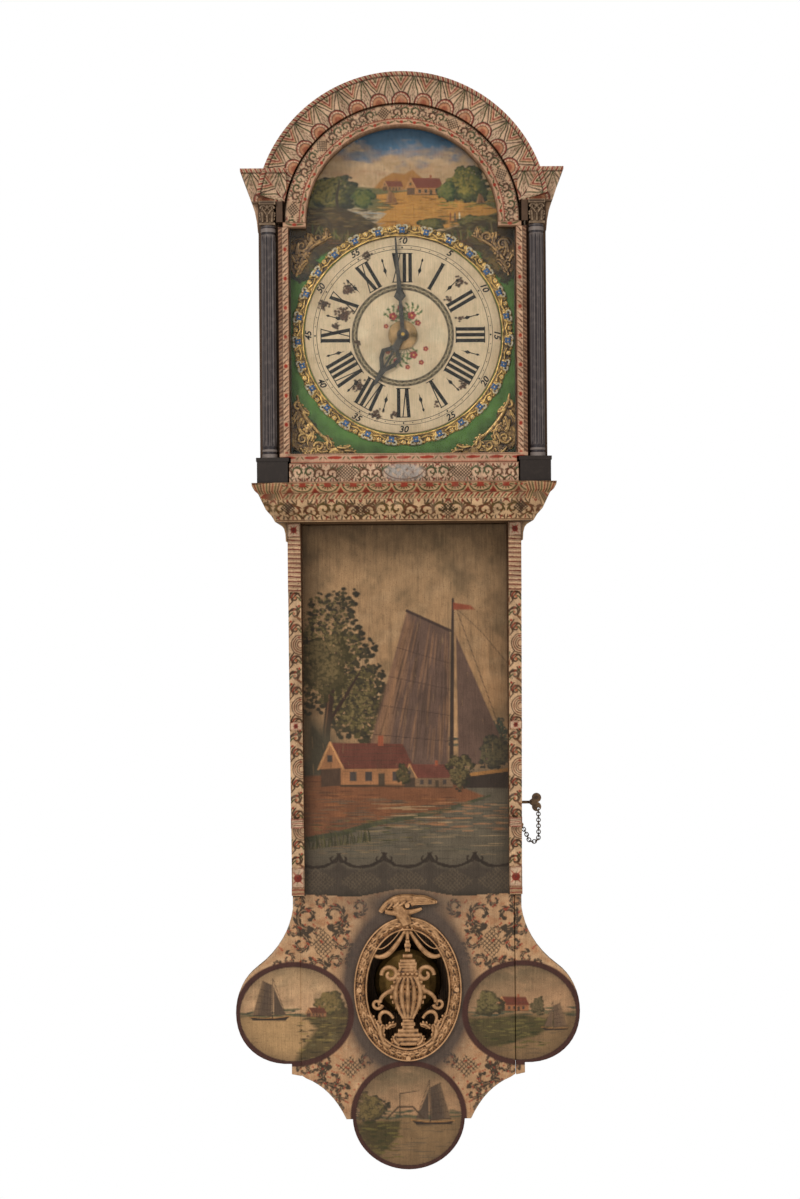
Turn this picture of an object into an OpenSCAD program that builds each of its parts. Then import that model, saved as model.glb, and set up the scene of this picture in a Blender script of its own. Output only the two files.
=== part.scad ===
// Frisian tail clock: an arched hood on a console, over a flat trunk that ends in a trefoil tail.
// The clock hangs on a wall. The wall is at y = 0, the front looks along -Y, and z = 0 is the hanging hole.

/* [Hood] */
// Height of the centre of every arch in the hood
arch_z = -60; // [-62:0.5:-58]
// Outer radius of the painted cornice arch
cornice_r = 191; // [188:0.5:194]
// Half width of the hood, outside its side walls
hood_half = 188; // [187:0.5:189]
// Half width of the opening that shows the dial
opening_half = 148; // [147:0.5:148.5]
// Radius of the opening in the arched part of the door
door_arch_in = 125; // [120:1:130]
// Radius of the turned columns
column_r = 10; // [8:0.5:10]
// Half width of the cornice at its ears
ear_half = 209; // [205:0.5:212]

/* [Console and trunk] */
// Half width of the console at its top edge
console_half = 197.7; // [196:0.5:200]
// Half width of the trunk
trunk_half = 156; // [155:0.5:157]
// Width of a carved rail
rail_w = 17; // [15:0.5:19]
// How far the rails stand in front of the front board at the top
rail_top_depth = 55; // [40:1:60]

/* [Tail] */
// Half width of the tail at its widest
tail_half = 234.7; // [230:0.5:238]
// Height of the lowest point of the tail
tail_bottom = -1329; // [-1335:1:-1325]
// Half width of the hole behind the cast grille
grille_hole_x = 58; // [56:0.5:60]
// Half height of the hole behind the cast grille
grille_hole_z = 81; // [79:0.5:83]

/* [Dial] */
// Height of the centre of the dial
dial_z = -203; // [-204:0.5:-202]
// Radius of the painted chapter disc
chapter_r = 130; // [128:0.5:131]
// Outer radius of the cast leaf ring
leaf_ring_r = 146.5; // [145:0.5:147]
// Length of the minute hand
minute_len = 130; // [110:1:130]
// Length of the hour hand
hour_len = 78; // [60:1:85]
// Where the minute hand points, in degrees clockwise from twelve
minute_angle = -4; // [-30:1:30]
// Where the hour hand points, in degrees clockwise from twelve
hour_angle = 210; // [180:1:240]

/* [Movement] */
// Height of the axis of the pendulum and the anchor
pendulum_z = -128; // [-129:0.5:-127]
// Height of the centre of the pendulum bob
bob_z = -1082; // [-1090:1:-1075]
// Radius of the pendulum bob
bob_r = 47; // [40:1:50]

/* [Hidden] */
$fn = 96;

// Depths along the wall's normal, as y values
back_t = 15;
front_back_y = -83;
front_y = -95;
box_in = trunk_half - 10;
tail_z = -955;
floor_top = -399;
hood_rear = -16;
frame_back = -176;
frame_front = -190;
door_back = -190.6;
door_front = -206;
rest_gap = 0.1;
rail_bottom_z = -951;

// Depths of the dial and the hands
plate_y = -170;
plate_t = 2;
disc_y = plate_y - plate_t;

// The movement's bars, between which the arbors run
bar_t = 3;
front_bar_y = -137;
mid_bar_y = -103;
back_bar_y = -69;
plate_low = -330;
plate_high = -100;
play = 0.05;
pivot_r = 1;
stud_r = 0.9;

// Wheel counts and modules: [teeth, module]
great_gear = [54, 1.4];
centre_gear = [48, 0.95];
third_gear = [46, 0.9];
motion_gear = [30, 1];
leaves = 6;
hour_teeth = 72;
hour_module = 30 / 39;
great_z = dial_z - great_gear[1] * (great_gear[0] + leaves) / 2;
third_z = dial_z + centre_gear[1] * (centre_gear[0] + leaves) / 2;
escape_z = third_z + third_gear[1] * (third_gear[0] + leaves) / 2;
minute_z = dial_z - motion_gear[1] * motion_gear[0];
escape_r = 18;

// Outlines
function bezier(a, b, c, d, n) = [for (i = [0 : n - 1])
    let (t = i / n, u = 1 - t) u * u * u * a + 3 * u * u * t * b + 3 * u * t * t * c + t * t * t * d];
function arc(c, rx, rz, a0, a1, n) = [for (i = [0 : n]) let (a = a0 + (a1 - a0) * i / n)
    [c[0] + rx * cos(a), c[1] + rz * sin(a)]];
function reversed(pts) = [for (i = [len(pts) - 1 : -1 : 0]) pts[i]];
function flipped(pts) = [for (p = reversed(pts)) if (abs(p[0]) > 0.01) [-p[0], p[1]]];
function beside(pts, w) = [for (i = [0 : len(pts) - 1])
    let (d = pts[min(i + 1, len(pts) - 1)] - pts[max(i - 1, 0)]) pts[i] + w * [-d[1], d[0]] / norm(d)];
function stroke(pts, w) = concat(beside(pts, w / 2), reversed(beside(pts, -w / 2)));

// Right half of the trefoil tail, from its top edge down to its lowest point
lobe_z = tail_bottom + 72;
tail_right = concat(
    [[trunk_half, tail_z]],
    bezier([trunk_half, -972], [160, -1000], [175, -1030], [205, -1052], 8),
    bezier([205, -1052], [224, -1066], [tail_half, -1088], [tail_half, -1114], 8),
    bezier([tail_half, -1114], [tail_half, -1158], [202, -1186], [159, -1184], 12),
    [[159, -1184]],
    bezier([159, -1198], [125, -1205], [102, -1224], [85, -1260], 10),
    [[85, -1260]],
    arc([0, lobe_z], 76.5, 72, -2.4, -90, 16));
tail_outline = concat(tail_right, flipped(tail_right));

module tail_shape() polygon(tail_outline);

// Carries a drawing in x and z from y_back forward by depth
module front(y_back, depth) translate([0, y_back, 0]) rotate([90, 0, 0]) linear_extrude(depth) children();

// Carries a drawing in y and z from x0 to the right by width
module across(x0, width) translate([x0, 0, 0]) rotate([90, 0, 90]) linear_extrude(width) children();

// Turns a drawing in radius and forward depth about a front-to-back axis at height z
module about(z, turn = 360) translate([0, 0, z]) rotate([90, 0, 0]) rotate_extrude(angle = turn) children();

module both() {
    children();
    mirror([1, 0, 0]) children();
}

// A drawn window with a straight foot at z_low and a round head of the same half width
module arched(half, z_low, head = 0) {
    r = head == 0 ? half : head;
    translate([-half, z_low]) square([2 * half, arch_z - z_low]);
    translate([0, arch_z]) intersection() {
        circle(r);
        translate([-r, 0]) square([2 * r, r]);
    }
}

// Trunk and tail
module back_board() color("#6b4a33") difference() {
    union() {
        front(0, back_t) translate([-trunk_half, -1184]) square([2 * trunk_half, 1184 + arch_z]);
        front(0, back_t) arched(150, -200);
    }
    rotate([90, 0, 0]) translate([0, 0, -1]) cylinder(h = back_t + 2, r = 5);
}

module trunk_side_profile() polygon([[-back_t, floor_top - 12], [front_y, floor_top - 12],
    [front_y, tail_z], [front_back_y, tail_z], [front_back_y, -1184], [-back_t, -1184]]);

module trunk_side_left() color("#7a5a3e") across(-trunk_half, 10) trunk_side_profile();

// The hatch opening in the right-hand side of the trunk
hatch = [[-82, -30], [-915, -745]];
key_z = -832;
key_y = -70;
module trunk_side_right() color("#7a5a3e") difference() {
    across(box_in, 10) trunk_side_profile();
    across(box_in - 1, 12) translate([hatch[0][0], hatch[1][0]])
        square([hatch[0][1] - hatch[0][0], hatch[1][1] - hatch[1][0]]);
}

module front_board() color("#8a7352") difference() {
    union() {
        front(front_back_y, 12) translate([-box_in, tail_z - 5]) square([2 * box_in, -449 - tail_z + 5]);
        front(front_back_y, 12) intersection() {
            tail_shape();
            translate([-box_in, -1400]) square([2 * box_in, 1400]);
        }
    }
    front(front_back_y + 1, 14) polygon(arc([0, bob_z], grille_hole_x, grille_hole_z, 0, 352.5, 47));
}

// The ears are planks glued to the edges of the front board; the right-hand joint has opened
joint_gap = 1;
module ear(gap) front(front_back_y, 12) intersection() {
    tail_shape();
    translate([box_in + gap, -1400]) square([150, 1400]);
}
module ears() color("#5c4a40") {
    mirror([1, 0, 0]) ear(0);
    ear(joint_gap);
}

module tail_bottom_board() color("#6b4a33") translate([-box_in, front_back_y, -1184])
    cube([2 * box_in, -front_back_y - back_t, 10]);

// Each rail stands on the front board and thins from top to bottom: [height, depth in front of the board]
rail_steps = [[-449, 1], [-467, 1], [-467, 0.94], [-541, 0.9], [-541, 0.84], [-620, 0.78], [-715, 0.66],
    [-715, 0.72], [-726, 0.72], [-726, 0.62], [-780, 0.52], [-846, 0.42], [-846, 0.52], [-859, 0.52],
    [-859, 0.38], [-914, 0.3], [-914, 0.36], [-941, 0.34], [-941, 0.4], [rail_bottom_z, 0.4]];
module rails() color("#c9a67f") both() across(trunk_half - rail_w, rail_w) polygon(concat(
    [[front_y, rail_bottom_z]], [for (s = reversed(rail_steps)) [front_y - s[1] * rail_top_depth, s[0]]],
    [[front_y, -449]]));

// Console: [how far the face stands inside the top edge, height]
console_steps = [[0, floor_top], [0.4, -403], [3.5, -409], [8.5, -413.5], [11, -418], [13.2, -424],
    [17, -433], [24, -441], [26, -444.5], [28.2, -448.5]];
console_thick = 30;
console_y = -215;
module console_profile() polygon(concat([for (s = console_steps) [-s[0], s[1]]],
    [[-console_thick, -448.5], [-console_thick, floor_top]]));
module console_front() color("#c9a67f") difference() {
    translate([0, console_y, 0]) mirror([0, 1, 0]) across(-console_half, 2 * console_half)
        console_profile();
    both() translate([console_half, console_y, -460]) rotate([0, 0, 45]) translate([0, -60, 0])
        cube([60, 120, 80]);
}
// The side returns have one more hollow, which runs down onto the trunk
module console_return() difference() {
    union() {
        front(hood_rear, -console_y + hood_rear) translate([console_half, 0]) console_profile();
        front(hood_rear, 134) polygon(concat([[trunk_half, -448.5], [169.5, -448.5]],
            bezier([169.5, -448.5], [161, -453], [158.5, -461], [158, -473], 6),
            [[158, -473], [trunk_half, -473]]));
    }
    translate([console_half, console_y, -460]) rotate([0, 0, 45]) translate([-60, -60, 0])
        cube([60, 120, 80]);
}
module console_returns() color("#c9a67f") both() console_return();

inner_half = console_half - console_thick;
inner_front = console_y + console_thick;
// The floor of the hood, with a slot for the pendulum and the chains, and the soffit under the console
module console_boards() color("#7a5a3e") {
    difference() {
        translate([-inner_half, inner_front, floor_top - 12])
            cube([2 * inner_half, -inner_front - back_t, 12]);
        translate([-70, -150, floor_top - 13]) cube([140, 115, 14]);
    }
    translate([-inner_half, inner_front, -448.5]) cube([2 * inner_half, front_y - inner_front, 8]);
}
module hood_guides() color("#7a5a3e") both() translate([inner_half + 1, -170, floor_top])
    cube([7, 170 + hood_rear, 10]);

// The seat of the movement: a board with holes for the chains, on two uprights
seat_low = -345;
seat_t = 12;
module seat() color("#7a5a3e") {
    difference() {
        translate([-140, -154, seat_low]) cube([280, 154 - back_t, seat_t]);
        translate([-45, -62, seat_low - 1]) cube([90, 32, seat_t + 2]);
        both() for (y = [front_bar_y + 15, mid_bar_y + 12]) translate([14, y, seat_low - 1])
            cylinder(h = seat_t + 2, r = 6);
    }
    both() translate([128, -140, floor_top]) cube([12, 140 - back_t, seat_low - floor_top]);
}

screw_at = [[14, -26], [14, 26], [-14, -26], [-14, 26]];
module wall_hanger() color("#4a4038") difference() {
    front(-back_t, 3) translate([-22, -36]) square([44, 72]);
    rotate([90, 0, 0]) translate([0, 0, back_t - 1]) cylinder(h = 6, r = 5);
}
module hanger_screws() color("#5b5148") for (p = screw_at) translate([p[0], 0, p[1]]) rotate([90, 0, 0])
    translate([0, 0, back_t + 3]) cylinder(h = 2, r1 = 4, r2 = 3, $fn = 32);

// Cast grille over the hole in the tail: a wreath ring with an urn hung with drapery inside it
ring_x = 73.6;
ring_z = 100;
ring_in_x = 56;
ring_in_z = 79;
module ellipse(rx, rz) polygon(arc([0, bob_z], rx, rz, 0, 352.5, 47));
urn_right = concat([[0, -1014], [4, -1024], [3, -1034], [10, -1042], [12, -1050], [7, -1056]],
    bezier([7, -1056], [6, -1070], [24, -1076], [25, -1090], 6),
    bezier([25, -1090], [25, -1112], [8, -1118], [7, -1126], 6),
    [[7, -1126], [16, -1136], [22, -1148], [24, -1158], [0, -1158]]);
module tail_grille() color("#9c7b4a") {
    front(front_y, 8) difference() {
        ellipse(ring_x, ring_z);
        ellipse(ring_in_x, ring_in_z);
    }
    front(front_y - 1, 5) {
        polygon(concat(urn_right, flipped(urn_right)));
        translate([-2.5, -1016]) square([5, 20]);
        for (s = [-1, 1]) scale([s, 1]) {
            polygon(stroke(arc([6, -1003], 42, 42, 4, -62, 8), 9));
            polygon(stroke(arc([31, -1078], 15, 20, -150, 100, 12), 6));
            polygon(stroke(arc([36, -1142], 26, 22, 75, 195, 8), 6));
        }
    }
    front(front_y, 9) polygon(concat(arc([0, -974], 30, 16, 10, 170, 8), [[0, -990]]));
}
module grille_nails() color("#7d6642") for (p = [[0, -967], [-66.5, -1082], [66.5, -1082], [0, -1175]])
    translate([p[0], front_y - (p[1] == -967 ? 9 : 8), p[1]]) rotate([90, 0, 0]) cylinder(h = 2.2, r = 3.2);

// Hatch in the side of the trunk, its hinge, its lock and the key on its chain
hatch_gap = 1;
hatch_front_gap = 1.7;
hinge_x = trunk_half + 2.6;
hinge_y = -30;
hinge_z = [-770, -890];
knuckle_r = 2.4;
hinge_pin_r = 1.1;
module side_hatch() color("#7a5a3e") {
    difference() {
        across(box_in, 10) translate([hatch[0][0] + hatch_front_gap, hatch[1][0] + hatch_gap])
            square([hatch[0][1] - hatch[0][0] - hatch_front_gap - hatch_gap,
                hatch[1][1] - hatch[1][0] - 2 * hatch_gap]);
        translate([box_in - 1, key_y, key_z]) rotate([0, 90, 0]) cylinder(h = 12, r = 2 + play);
    }
}
// Knuckle halves: the fixed one is low on each hinge and carries the pin
module knuckle(z, h, hole) translate([hinge_x, hinge_y, z]) difference() {
    cylinder(h = h, r = knuckle_r);
    translate([0, 0, -1]) cylinder(h = h + 2, r = hole);
}
module hatch_hinge() color("#5b5148") for (z = hinge_z) {
    knuckle(z, 12, hinge_pin_r);
    translate([trunk_half, hinge_y, z]) cube([1.2, 12, 12]);
    translate([hinge_x, hinge_y, z]) cylinder(h = 25, r = hinge_pin_r);
}
module hatch_leaves() color("#5b5148") for (z = hinge_z) {
    knuckle(z + 12.3, 12, hinge_pin_r + play);
    translate([trunk_half, hinge_y - 15, z + 12.3]) cube([1.2, 15, 12]);
}
module hatch_lock() color("#8d7345") {
    difference() {
        translate([box_in - 8, key_y - 7, key_z - 15]) cube([8, 18, 30]);
        translate([box_in - 6.5, key_y - 5, key_z - 13]) cube([7, 14, 26]);
        translate([box_in - 9, key_y, key_z]) rotate([0, 90, 0]) cylinder(h = 4, r = 1.5 + play);
    }
    translate([trunk_half, key_y, key_z]) rotate([0, 90, 0]) difference() {
        cylinder(h = 1.2, r = 8);
        translate([0, 0, -1]) cylinder(h = 4, r = 2 + play);
    }
    hatch_leaves();
    difference() {
        translate([staple[0], key_y, staple[1]]) rotate([90, 0, 0]) rotate_extrude()
            translate([2.6, 0]) circle(0.8);
        translate([box_in, key_y - 5, staple[1] - 5]) cube([10, 10, 10]);
    }
}
staple = [158, -863];
eye = [26, -9.2];
module side_key() color("#6a5236") translate([trunk_half, key_y, key_z]) {
    translate([-11.5, 0, 0]) rotate([0, 90, 0]) cylinder(h = 28, r = 2);
    translate([-17.5, 0, 0]) rotate([0, 90, 0]) cylinder(h = 7, r = 1.5);
    translate([-14, -1.2, -7]) cube([3.5, 2.4, 6.2]);
    translate([0, 1.2, 0]) rotate([90, 0, 0]) linear_extrude(2.4) difference() {
        union() {
            polygon([[14, -2.5], [18, -5.5], [26, 0], [18, 5.5], [14, 2.5]]);
            translate([23.5, 6.2]) circle(6.4);
            translate([23.5, -6.2]) circle(6.4);
        }
        translate(eye) circle(1.6);
    }
}
// The chain hangs in a slack loop from the eye of the key, down one side, round and up to a staple
link_r = 3.05;
link_wire = 0.7;
links = 19;
loop_x = 182;
loop_top = -844.4;
loop_turn = -879;
loop_r = 7.6;
rise_end = [159.6, -865.8];
rise_start = [loop_x - 2 * loop_r, loop_turn];
turn_len = 180 * loop_r * PI / 180;
rise_len = norm(rise_end - rise_start);
chain_len = loop_top - loop_turn + turn_len + rise_len;
function chain_at(s) = s < loop_top - loop_turn ? [loop_x, loop_top - s]
    : s < loop_top - loop_turn + turn_len
        ? let (a = -(s - loop_top + loop_turn) / loop_r * 180 / PI)
            [loop_x - loop_r + loop_r * cos(a), loop_turn + loop_r * sin(a)]
        : rise_start + (s - chain_len + rise_len) / rise_len * (rise_end - rise_start);
module key_chain() color("#6a5236") for (i = [0 : links - 1]) {
    s = i / (links - 1) * chain_len;
    d = chain_at(min(s + 2, chain_len)) - chain_at(max(s - 2, 0));
    translate([chain_at(s)[0], key_y, chain_at(s)[1]]) rotate([0, -atan2(d[1], d[0]), 0])
        rotate([i % 2 == 0 ? 0 : 90, 0, 0]) rotate_extrude() translate([link_r, 0]) circle(link_wire);
}

// Hood
window = [[-150, -50], [-340, -130]];
wall_foot = floor_top + rest_gap;
wall_top = 2;
module hood_side() difference() {
    translate([hood_half - 12, frame_back, wall_foot])
        cube([12, hood_rear - frame_back, wall_top - wall_foot]);
    translate([hood_half - 13, window[0][0], window[1][0]])
        cube([14, window[0][1] - window[0][0], window[1][1] - window[1][0]]);
}
module hood_sides() color("#7a5a3e") both() hood_side();
module hood_windows() color([0.8, 0.85, 0.85, 0.4]) both()
    translate([hood_half - 7, window[0][0], window[1][0]]) cube([2, window[0][1] - window[0][0], window[1][1] - window[1][0]]);

// The front frame carries the columns and the cornice; the door closes over its opening
pin_x = 159.5;
pin_y = -203.5;
pin_r = 1.5;
hinge_block_z = arch_z + 0.6;
ear_low = -32.5;
module hood_front_frame() color("#7a5a3e") difference() {
    union() {
        front(frame_back, frame_back - frame_front) difference() {
            union() {
                translate([-hood_half, wall_foot]) square([2 * hood_half, wall_top - wall_foot]);
                arched(168, -60.5);
            }
            arched(opening_half - 1, -366);
        }
        both() translate([155.5, door_front, hinge_block_z])
            cube([8, frame_front - door_front, ear_low - hinge_block_z]);
    }
    translate([pin_x, pin_y, hinge_block_z - 1]) cylinder(h = 9, r = pin_r);
}
module hood_roof() color("#6b4a33") {
    about(arch_z, 180) translate([162, -hood_rear]) square([6, hood_rear - frame_back]);
    both() translate([154, frame_back, -4]) cube([hood_half - 12 - 154, hood_rear - frame_back, 6]);
}

// Cornice: [how far up the moulding, from 0 to 1; how far it leans forward]
frieze_in = 155;
ear_top = 6.8;
cornice_lean = 15;
cornice_steps = [[0, 0], [0.06, 1.2], [0.25, 1.8], [0.5, 4], [0.72, 8.5], [0.78, 11], [0.84, 11.6],
    [0.9, 14], [1, cornice_lean]];
module cornice_arch() color("#c9a67f") difference() {
    union() {
        about(arch_z, 180) polygon(concat([[cornice_r, -frame_front], [frieze_in, -frame_front]],
            [for (s = cornice_steps) [frieze_in + s[0] * (cornice_r - frieze_in), -door_front + s[1]]]));
        both() intersection() {
            across(150, 60) polygon(concat([[frame_front, ear_top], [frame_front, ear_low]],
                [for (s = cornice_steps) [door_front - s[1], ear_low + s[0] * (ear_top - ear_low)]]));
            front(frame_front, 40) polygon(concat([[150, ear_top], [150, ear_low]], side_face));
        }
    }
    translate([-200, -240, -100]) cube([400, 60, 100 + ear_low]);
    translate([0, 0, arch_z]) rotate([90, 0, 0]) cylinder(h = 240, r = frieze_in);
}
// Outer face of the side cornice boards, in x and z
side_low = -69;
side_face = [[ear_half - 13, ear_low], [ear_half - 9.5, -22], [ear_half - 5, -8], [ear_half - 1.5, 1],
    [ear_half, 3], [ear_half, ear_top]];
module cornice_sides() color("#c9a67f") both() front(hood_rear, hood_rear - frame_front)
    polygon(concat([[hood_half, ear_top], [hood_half, side_low], [hood_half + 0.8, side_low],
        [hood_half + 2, -56], [hood_half + 4.5, -43]], side_face));

column_x = 174.5;
column_y = -200;
ped_top = -366;
cap_low = -64;
module columns() color("#3d3a3c") both() translate([column_x, column_y, 0]) {
    translate([0, 0, ped_top]) cylinder(h = cap_low - ped_top, r = column_r - 0.4);
    translate([0, 0, ped_top]) cylinder(h = 5, r = column_r);
    translate([0, 0, ped_top + 8]) cylinder(h = 3, r = column_r);
}
module capitals() color("#5e5140") both() {
    translate([164.2, -212, cap_low]) cube([21.6, 22, 3]);
    translate([166, -210, cap_low + 3]) cube([18, 20, 22]);
    translate([164.2, -212, cap_low + 25]) cube([21.6, 22, ear_low - cap_low - 25]);
}
module pedestals() color("#3a322e") difference() {
    both() {
        translate([151, -209, wall_foot]) cube([40, 19, ped_top - wall_foot - 5]);
        translate([149.5, -210, ped_top - 5]) cube([42.5, 20, 5]);
    }
    translate([pin_x, pin_y, ped_top - 7]) cylinder(h = 8, r = pin_r);
}
module hood_lower_rail() color("#c9a67f") translate([-149.4, door_front, wall_foot])
    cube([298.8, frame_front - door_front, -373.6 - wall_foot]);

// Door: an arched frame that turns on two wire pins
door_half = 161.5;
door_foot = -365.6;
rail_low = -373;
rebate = 3.5;
door_open_low = -361;
door_open_high = -66;
module door_outline() {
    translate([-door_half, door_foot]) square([2 * door_half, -62 - door_foot]);
    translate([-147, rail_low]) square([294, 20]);
    arched(152, -70);
}
module door_opening(grow = 0) {
    translate([-opening_half - grow, door_open_low - grow])
        square([2 * opening_half + 2 * grow, door_open_high - door_open_low + 2 * grow]);
    arched(door_arch_in + grow, -80);
}
module door_frame() color("#c9a67f") difference() {
    union() {
        front(door_back, door_back - door_front) difference() {
            door_outline();
            door_opening();
        }
        front(door_front, 1.5) difference() {
            union() {
                arched(152, -64);
                translate([-155, -66]) square([310, 6.05]);
            }
            door_opening();
        }
    }
    front(door_back + 1, 5.6) door_opening(rebate);
    translate([pin_x, pin_y, -70]) cylinder(h = 10, r = pin_r + play);
    translate([pin_x, pin_y, door_foot - 1]) cylinder(h = 10, r = pin_r + play);
}
module door_glass() color([0.8, 0.85, 0.85, 0.3]) front(door_back - 2.6, 2) door_opening(rebate - 0.3);
module glazing_bead() color("#7a5a3e") front(door_back, 2.6) difference() {
    door_opening(rebate - 0.3);
    door_opening(0);
}
module door_pins() color("#5b5148") {
    translate([pin_x, pin_y, -68]) cylinder(h = 15, r = pin_r);
    translate([pin_x, pin_y, ped_top - 6]) cylinder(h = 13, r = pin_r);
}

// Dial
module dial_plate() color("#4f7a3c") difference() {
    front(plate_y, plate_t) arched(155, -368, 146);
    translate([0, plate_y + 1, dial_z]) rotate([90, 0, 0]) cylinder(h = 4, r = 6);
}
foot_at = [[43, -135], [43, -300]];
module dial_supports() color("#b08a3e") both() {
    translate([40, -155, plate_low]) cube([6, 3, plate_high + bar_t - plate_low]);
    for (p = foot_at) translate([p[0], -155, p[1]]) rotate([90, 0, 0]) cylinder(h = -155 - plate_y, r = 2.5);
}
module chapter_disc() color("#d9c3a8") translate([0, disc_y, dial_z]) rotate([90, 0, 0]) difference() {
    cylinder(h = 1.5, r = chapter_r);
    translate([0, 0, -1]) cylinder(h = 4, r = 6);
}
module leaf_ring() color("#b08a3e") about(dial_z) polygon([[chapter_r + 0.3, -disc_y], [leaf_ring_r, -disc_y],
    [leaf_ring_r - 1, 2.5 - disc_y], [leaf_ring_r - 6, 5 - disc_y], [chapter_r + 5, 5 - disc_y],
    [chapter_r + 0.3, 2.5 - disc_y]]);
// Cast corner pieces between the ring and the corners of the dial
spandrel_low = [[145, 62], [145, 156], [140, 160], [60, 160], [72, 152], [112, 112], [132, 84]];
spandrel_high = [[145, 62], [145, 134], [140, 138], [88, 138], [98, 128], [112, 112], [132, 84]];
module spandrels() color("#8a6b35") front(disc_y, 4) for (s = [-1, 1], t = [-1, 1])
    intersection() {
        translate([0, dial_z]) difference() {
            scale([s, t]) polygon(t < 0 ? spandrel_low : spandrel_high);
            circle(leaf_ring_r + 2.5);
        }
        translate([-150, -366]) square([300, 306]);
    }

// Pierced hands, drawn along +z and turned to the hour
module hand(angle, y, thick) translate([0, y, dial_z]) rotate([0, angle, 0]) rotate([90, 0, 0])
    linear_extrude(thick) children();
module minute_hand() color("#3a342c") {
    hand(minute_angle, -181.2, 1.2) difference() {
        union() {
            circle(5.5);
            polygon([[-2.4, 4], [-3, 34], [-1.8, 44], [1.8, 44], [3, 34], [2.4, 4]]);
            polygon([[-2.2, 44], [-8, 50], [-3, 60], [-1.2, minute_len - 4], [0, minute_len],
                [1.2, minute_len - 4], [3, 60], [8, 50], [2.2, 44]]);
        }
        circle(2.2);
    }
    translate([0, -182.4, dial_z]) rotate([90, 0, 0]) difference() {
        cylinder(h = 2, r = 4);
        translate([0, 0, -1]) cylinder(h = 4, r = 2.2);
    }
}
module hour_hand() color("#3a342c") {
    hand(hour_angle, -177.8, 1.2) difference() {
        union() {
            circle(8);
            polygon([[-4, 6], [-5, 20], [-15, 30], [-12, 42], [-4, 54], [-2.5, hour_len - 6], [0, hour_len],
                [2.5, hour_len - 6], [4, 54], [12, 42], [15, 30], [5, 20], [4, 6]]);
        }
        circle(4.2);
        for (s = [-1, 1]) polygon([[s * 1.5, 24], [s * 9, 31], [s * 7.5, 39], [s * 1.5, 48]]);
    }
    translate([0, -144.7, dial_z]) rotate([90, 0, 0]) difference() {
        union() {
            cylinder(h = 34.5, r = 4.2);
            translate([0, 0, 1.8]) gear(hour_teeth, hour_module, 2, 14);
        }
        translate([0, 0, -1]) cylinder(h = 38, r = 3 + play);
    }
}
module alarm_disc() color("#b58f4a") translate([0, -175, dial_z]) rotate([90, 0, 0]) difference() {
    cylinder(h = 1.4, r = 19);
    translate([0, 0, -1]) cylinder(h = 4, r = 4.2);
}

// A wheel of the train. Teeth are thin, as wheels cut by hand are, so that each pair runs with play.
function teeth(n, m, tip, root, share) = [for (i = [0 : n - 1], k = [0 : 5])
    let (p = 360 / n, w = share * p, edge = [-0.62, -0.5, -0.22, 0.22, 0.5, 0.62][k],
        r = n * m / 2 + [-root, 0, tip, tip, 0, -root][k] * m)
    [r * cos(i * p + edge * w), r * sin(i * p + edge * w)]];
wheel_tip = 0.8;
wheel_root = 1.2;
tooth_share = 0.4;
module gear(n, m, h, hub) {
    linear_extrude(h) difference() {
        polygon(teeth(n, m, wheel_tip, wheel_root, tooth_share));
        circle(n * m / 2 - 5 * m);
    }
    linear_extrude(h) for (a = [0, 90]) rotate(a) square([n * m - 8 * m, 5], center = true);
    cylinder(h = h, r = hub);
}
pinion_tip = 0.5;
pinion_root = 1.25;
module pinion(m, h, turned = 0) rotate(turned) linear_extrude(h)
    polygon(teeth(leaves, m, pinion_tip, pinion_root, 0.36));

// Stands a part of the train on its arbor: z is its height, y its front face
module on_arbor(z, y) translate([0, y, z]) rotate([-90, 0, 0]) children();
module arbor(z, y0, y1) {
    on_arbor(z, y0) cylinder(h = y1 - y0, r = 1.75);
    on_arbor(z, y0 - 1.4) cylinder(h = y1 - y0 + 2.8, r = pivot_r);
}

// Frame of the movement: two iron plates on four brass pillars, and three bars for the pivots
module bar(y, holes) difference() {
    translate([-11, y - bar_t, plate_low + bar_t]) cube([22, bar_t, plate_high - plate_low - bar_t]);
    for (h = holes) translate([0, y + 1, h[0]]) rotate([90, 0, 0]) cylinder(h = bar_t + 2, r = h[1]);
}
through = 1.75 + play;
pin_hole = pivot_r + play;
module movement_plates() color("#6f6a62") {
    difference() {
        translate([-62, -152, plate_low]) cube([124, 92, bar_t]);
        both() for (y = [-144, -68]) translate([54, y, plate_low - 1]) cylinder(h = bar_t + 2, r = 3);
    }
    difference() {
        translate([-62, -152, plate_high]) cube([124, 92, bar_t]);
        both() for (y = [-144, -68]) translate([54, y, plate_high - 1]) cylinder(h = bar_t + 2, r = 3);
        translate([46, -93, plate_high - 1]) cube([17, 10, bar_t + 2]);
    }
}
// Turned pillars, shouldered against the plates, with feet that stand on the seat
module movement_pillars() color("#b08a3e") both() for (y = [-144, -68]) translate([54, y, 0]) {
    translate([0, 0, plate_low + bar_t]) cylinder(h = plate_high - plate_low - bar_t, r = 4.5);
    for (z = [plate_low + bar_t, plate_low + 60, plate_high - 64, plate_high - 4])
        translate([0, 0, z]) cylinder(h = 4, r = 6);
    translate([0, 0, plate_low]) cylinder(h = plate_high + bar_t + 3 - plate_low, r = 3);
    translate([0, 0, seat_low + seat_t]) cylinder(h = plate_low - seat_low - seat_t, r = 5);
    translate([0, 0, plate_high + bar_t]) cylinder(h = 3, r = 5);
}
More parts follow.
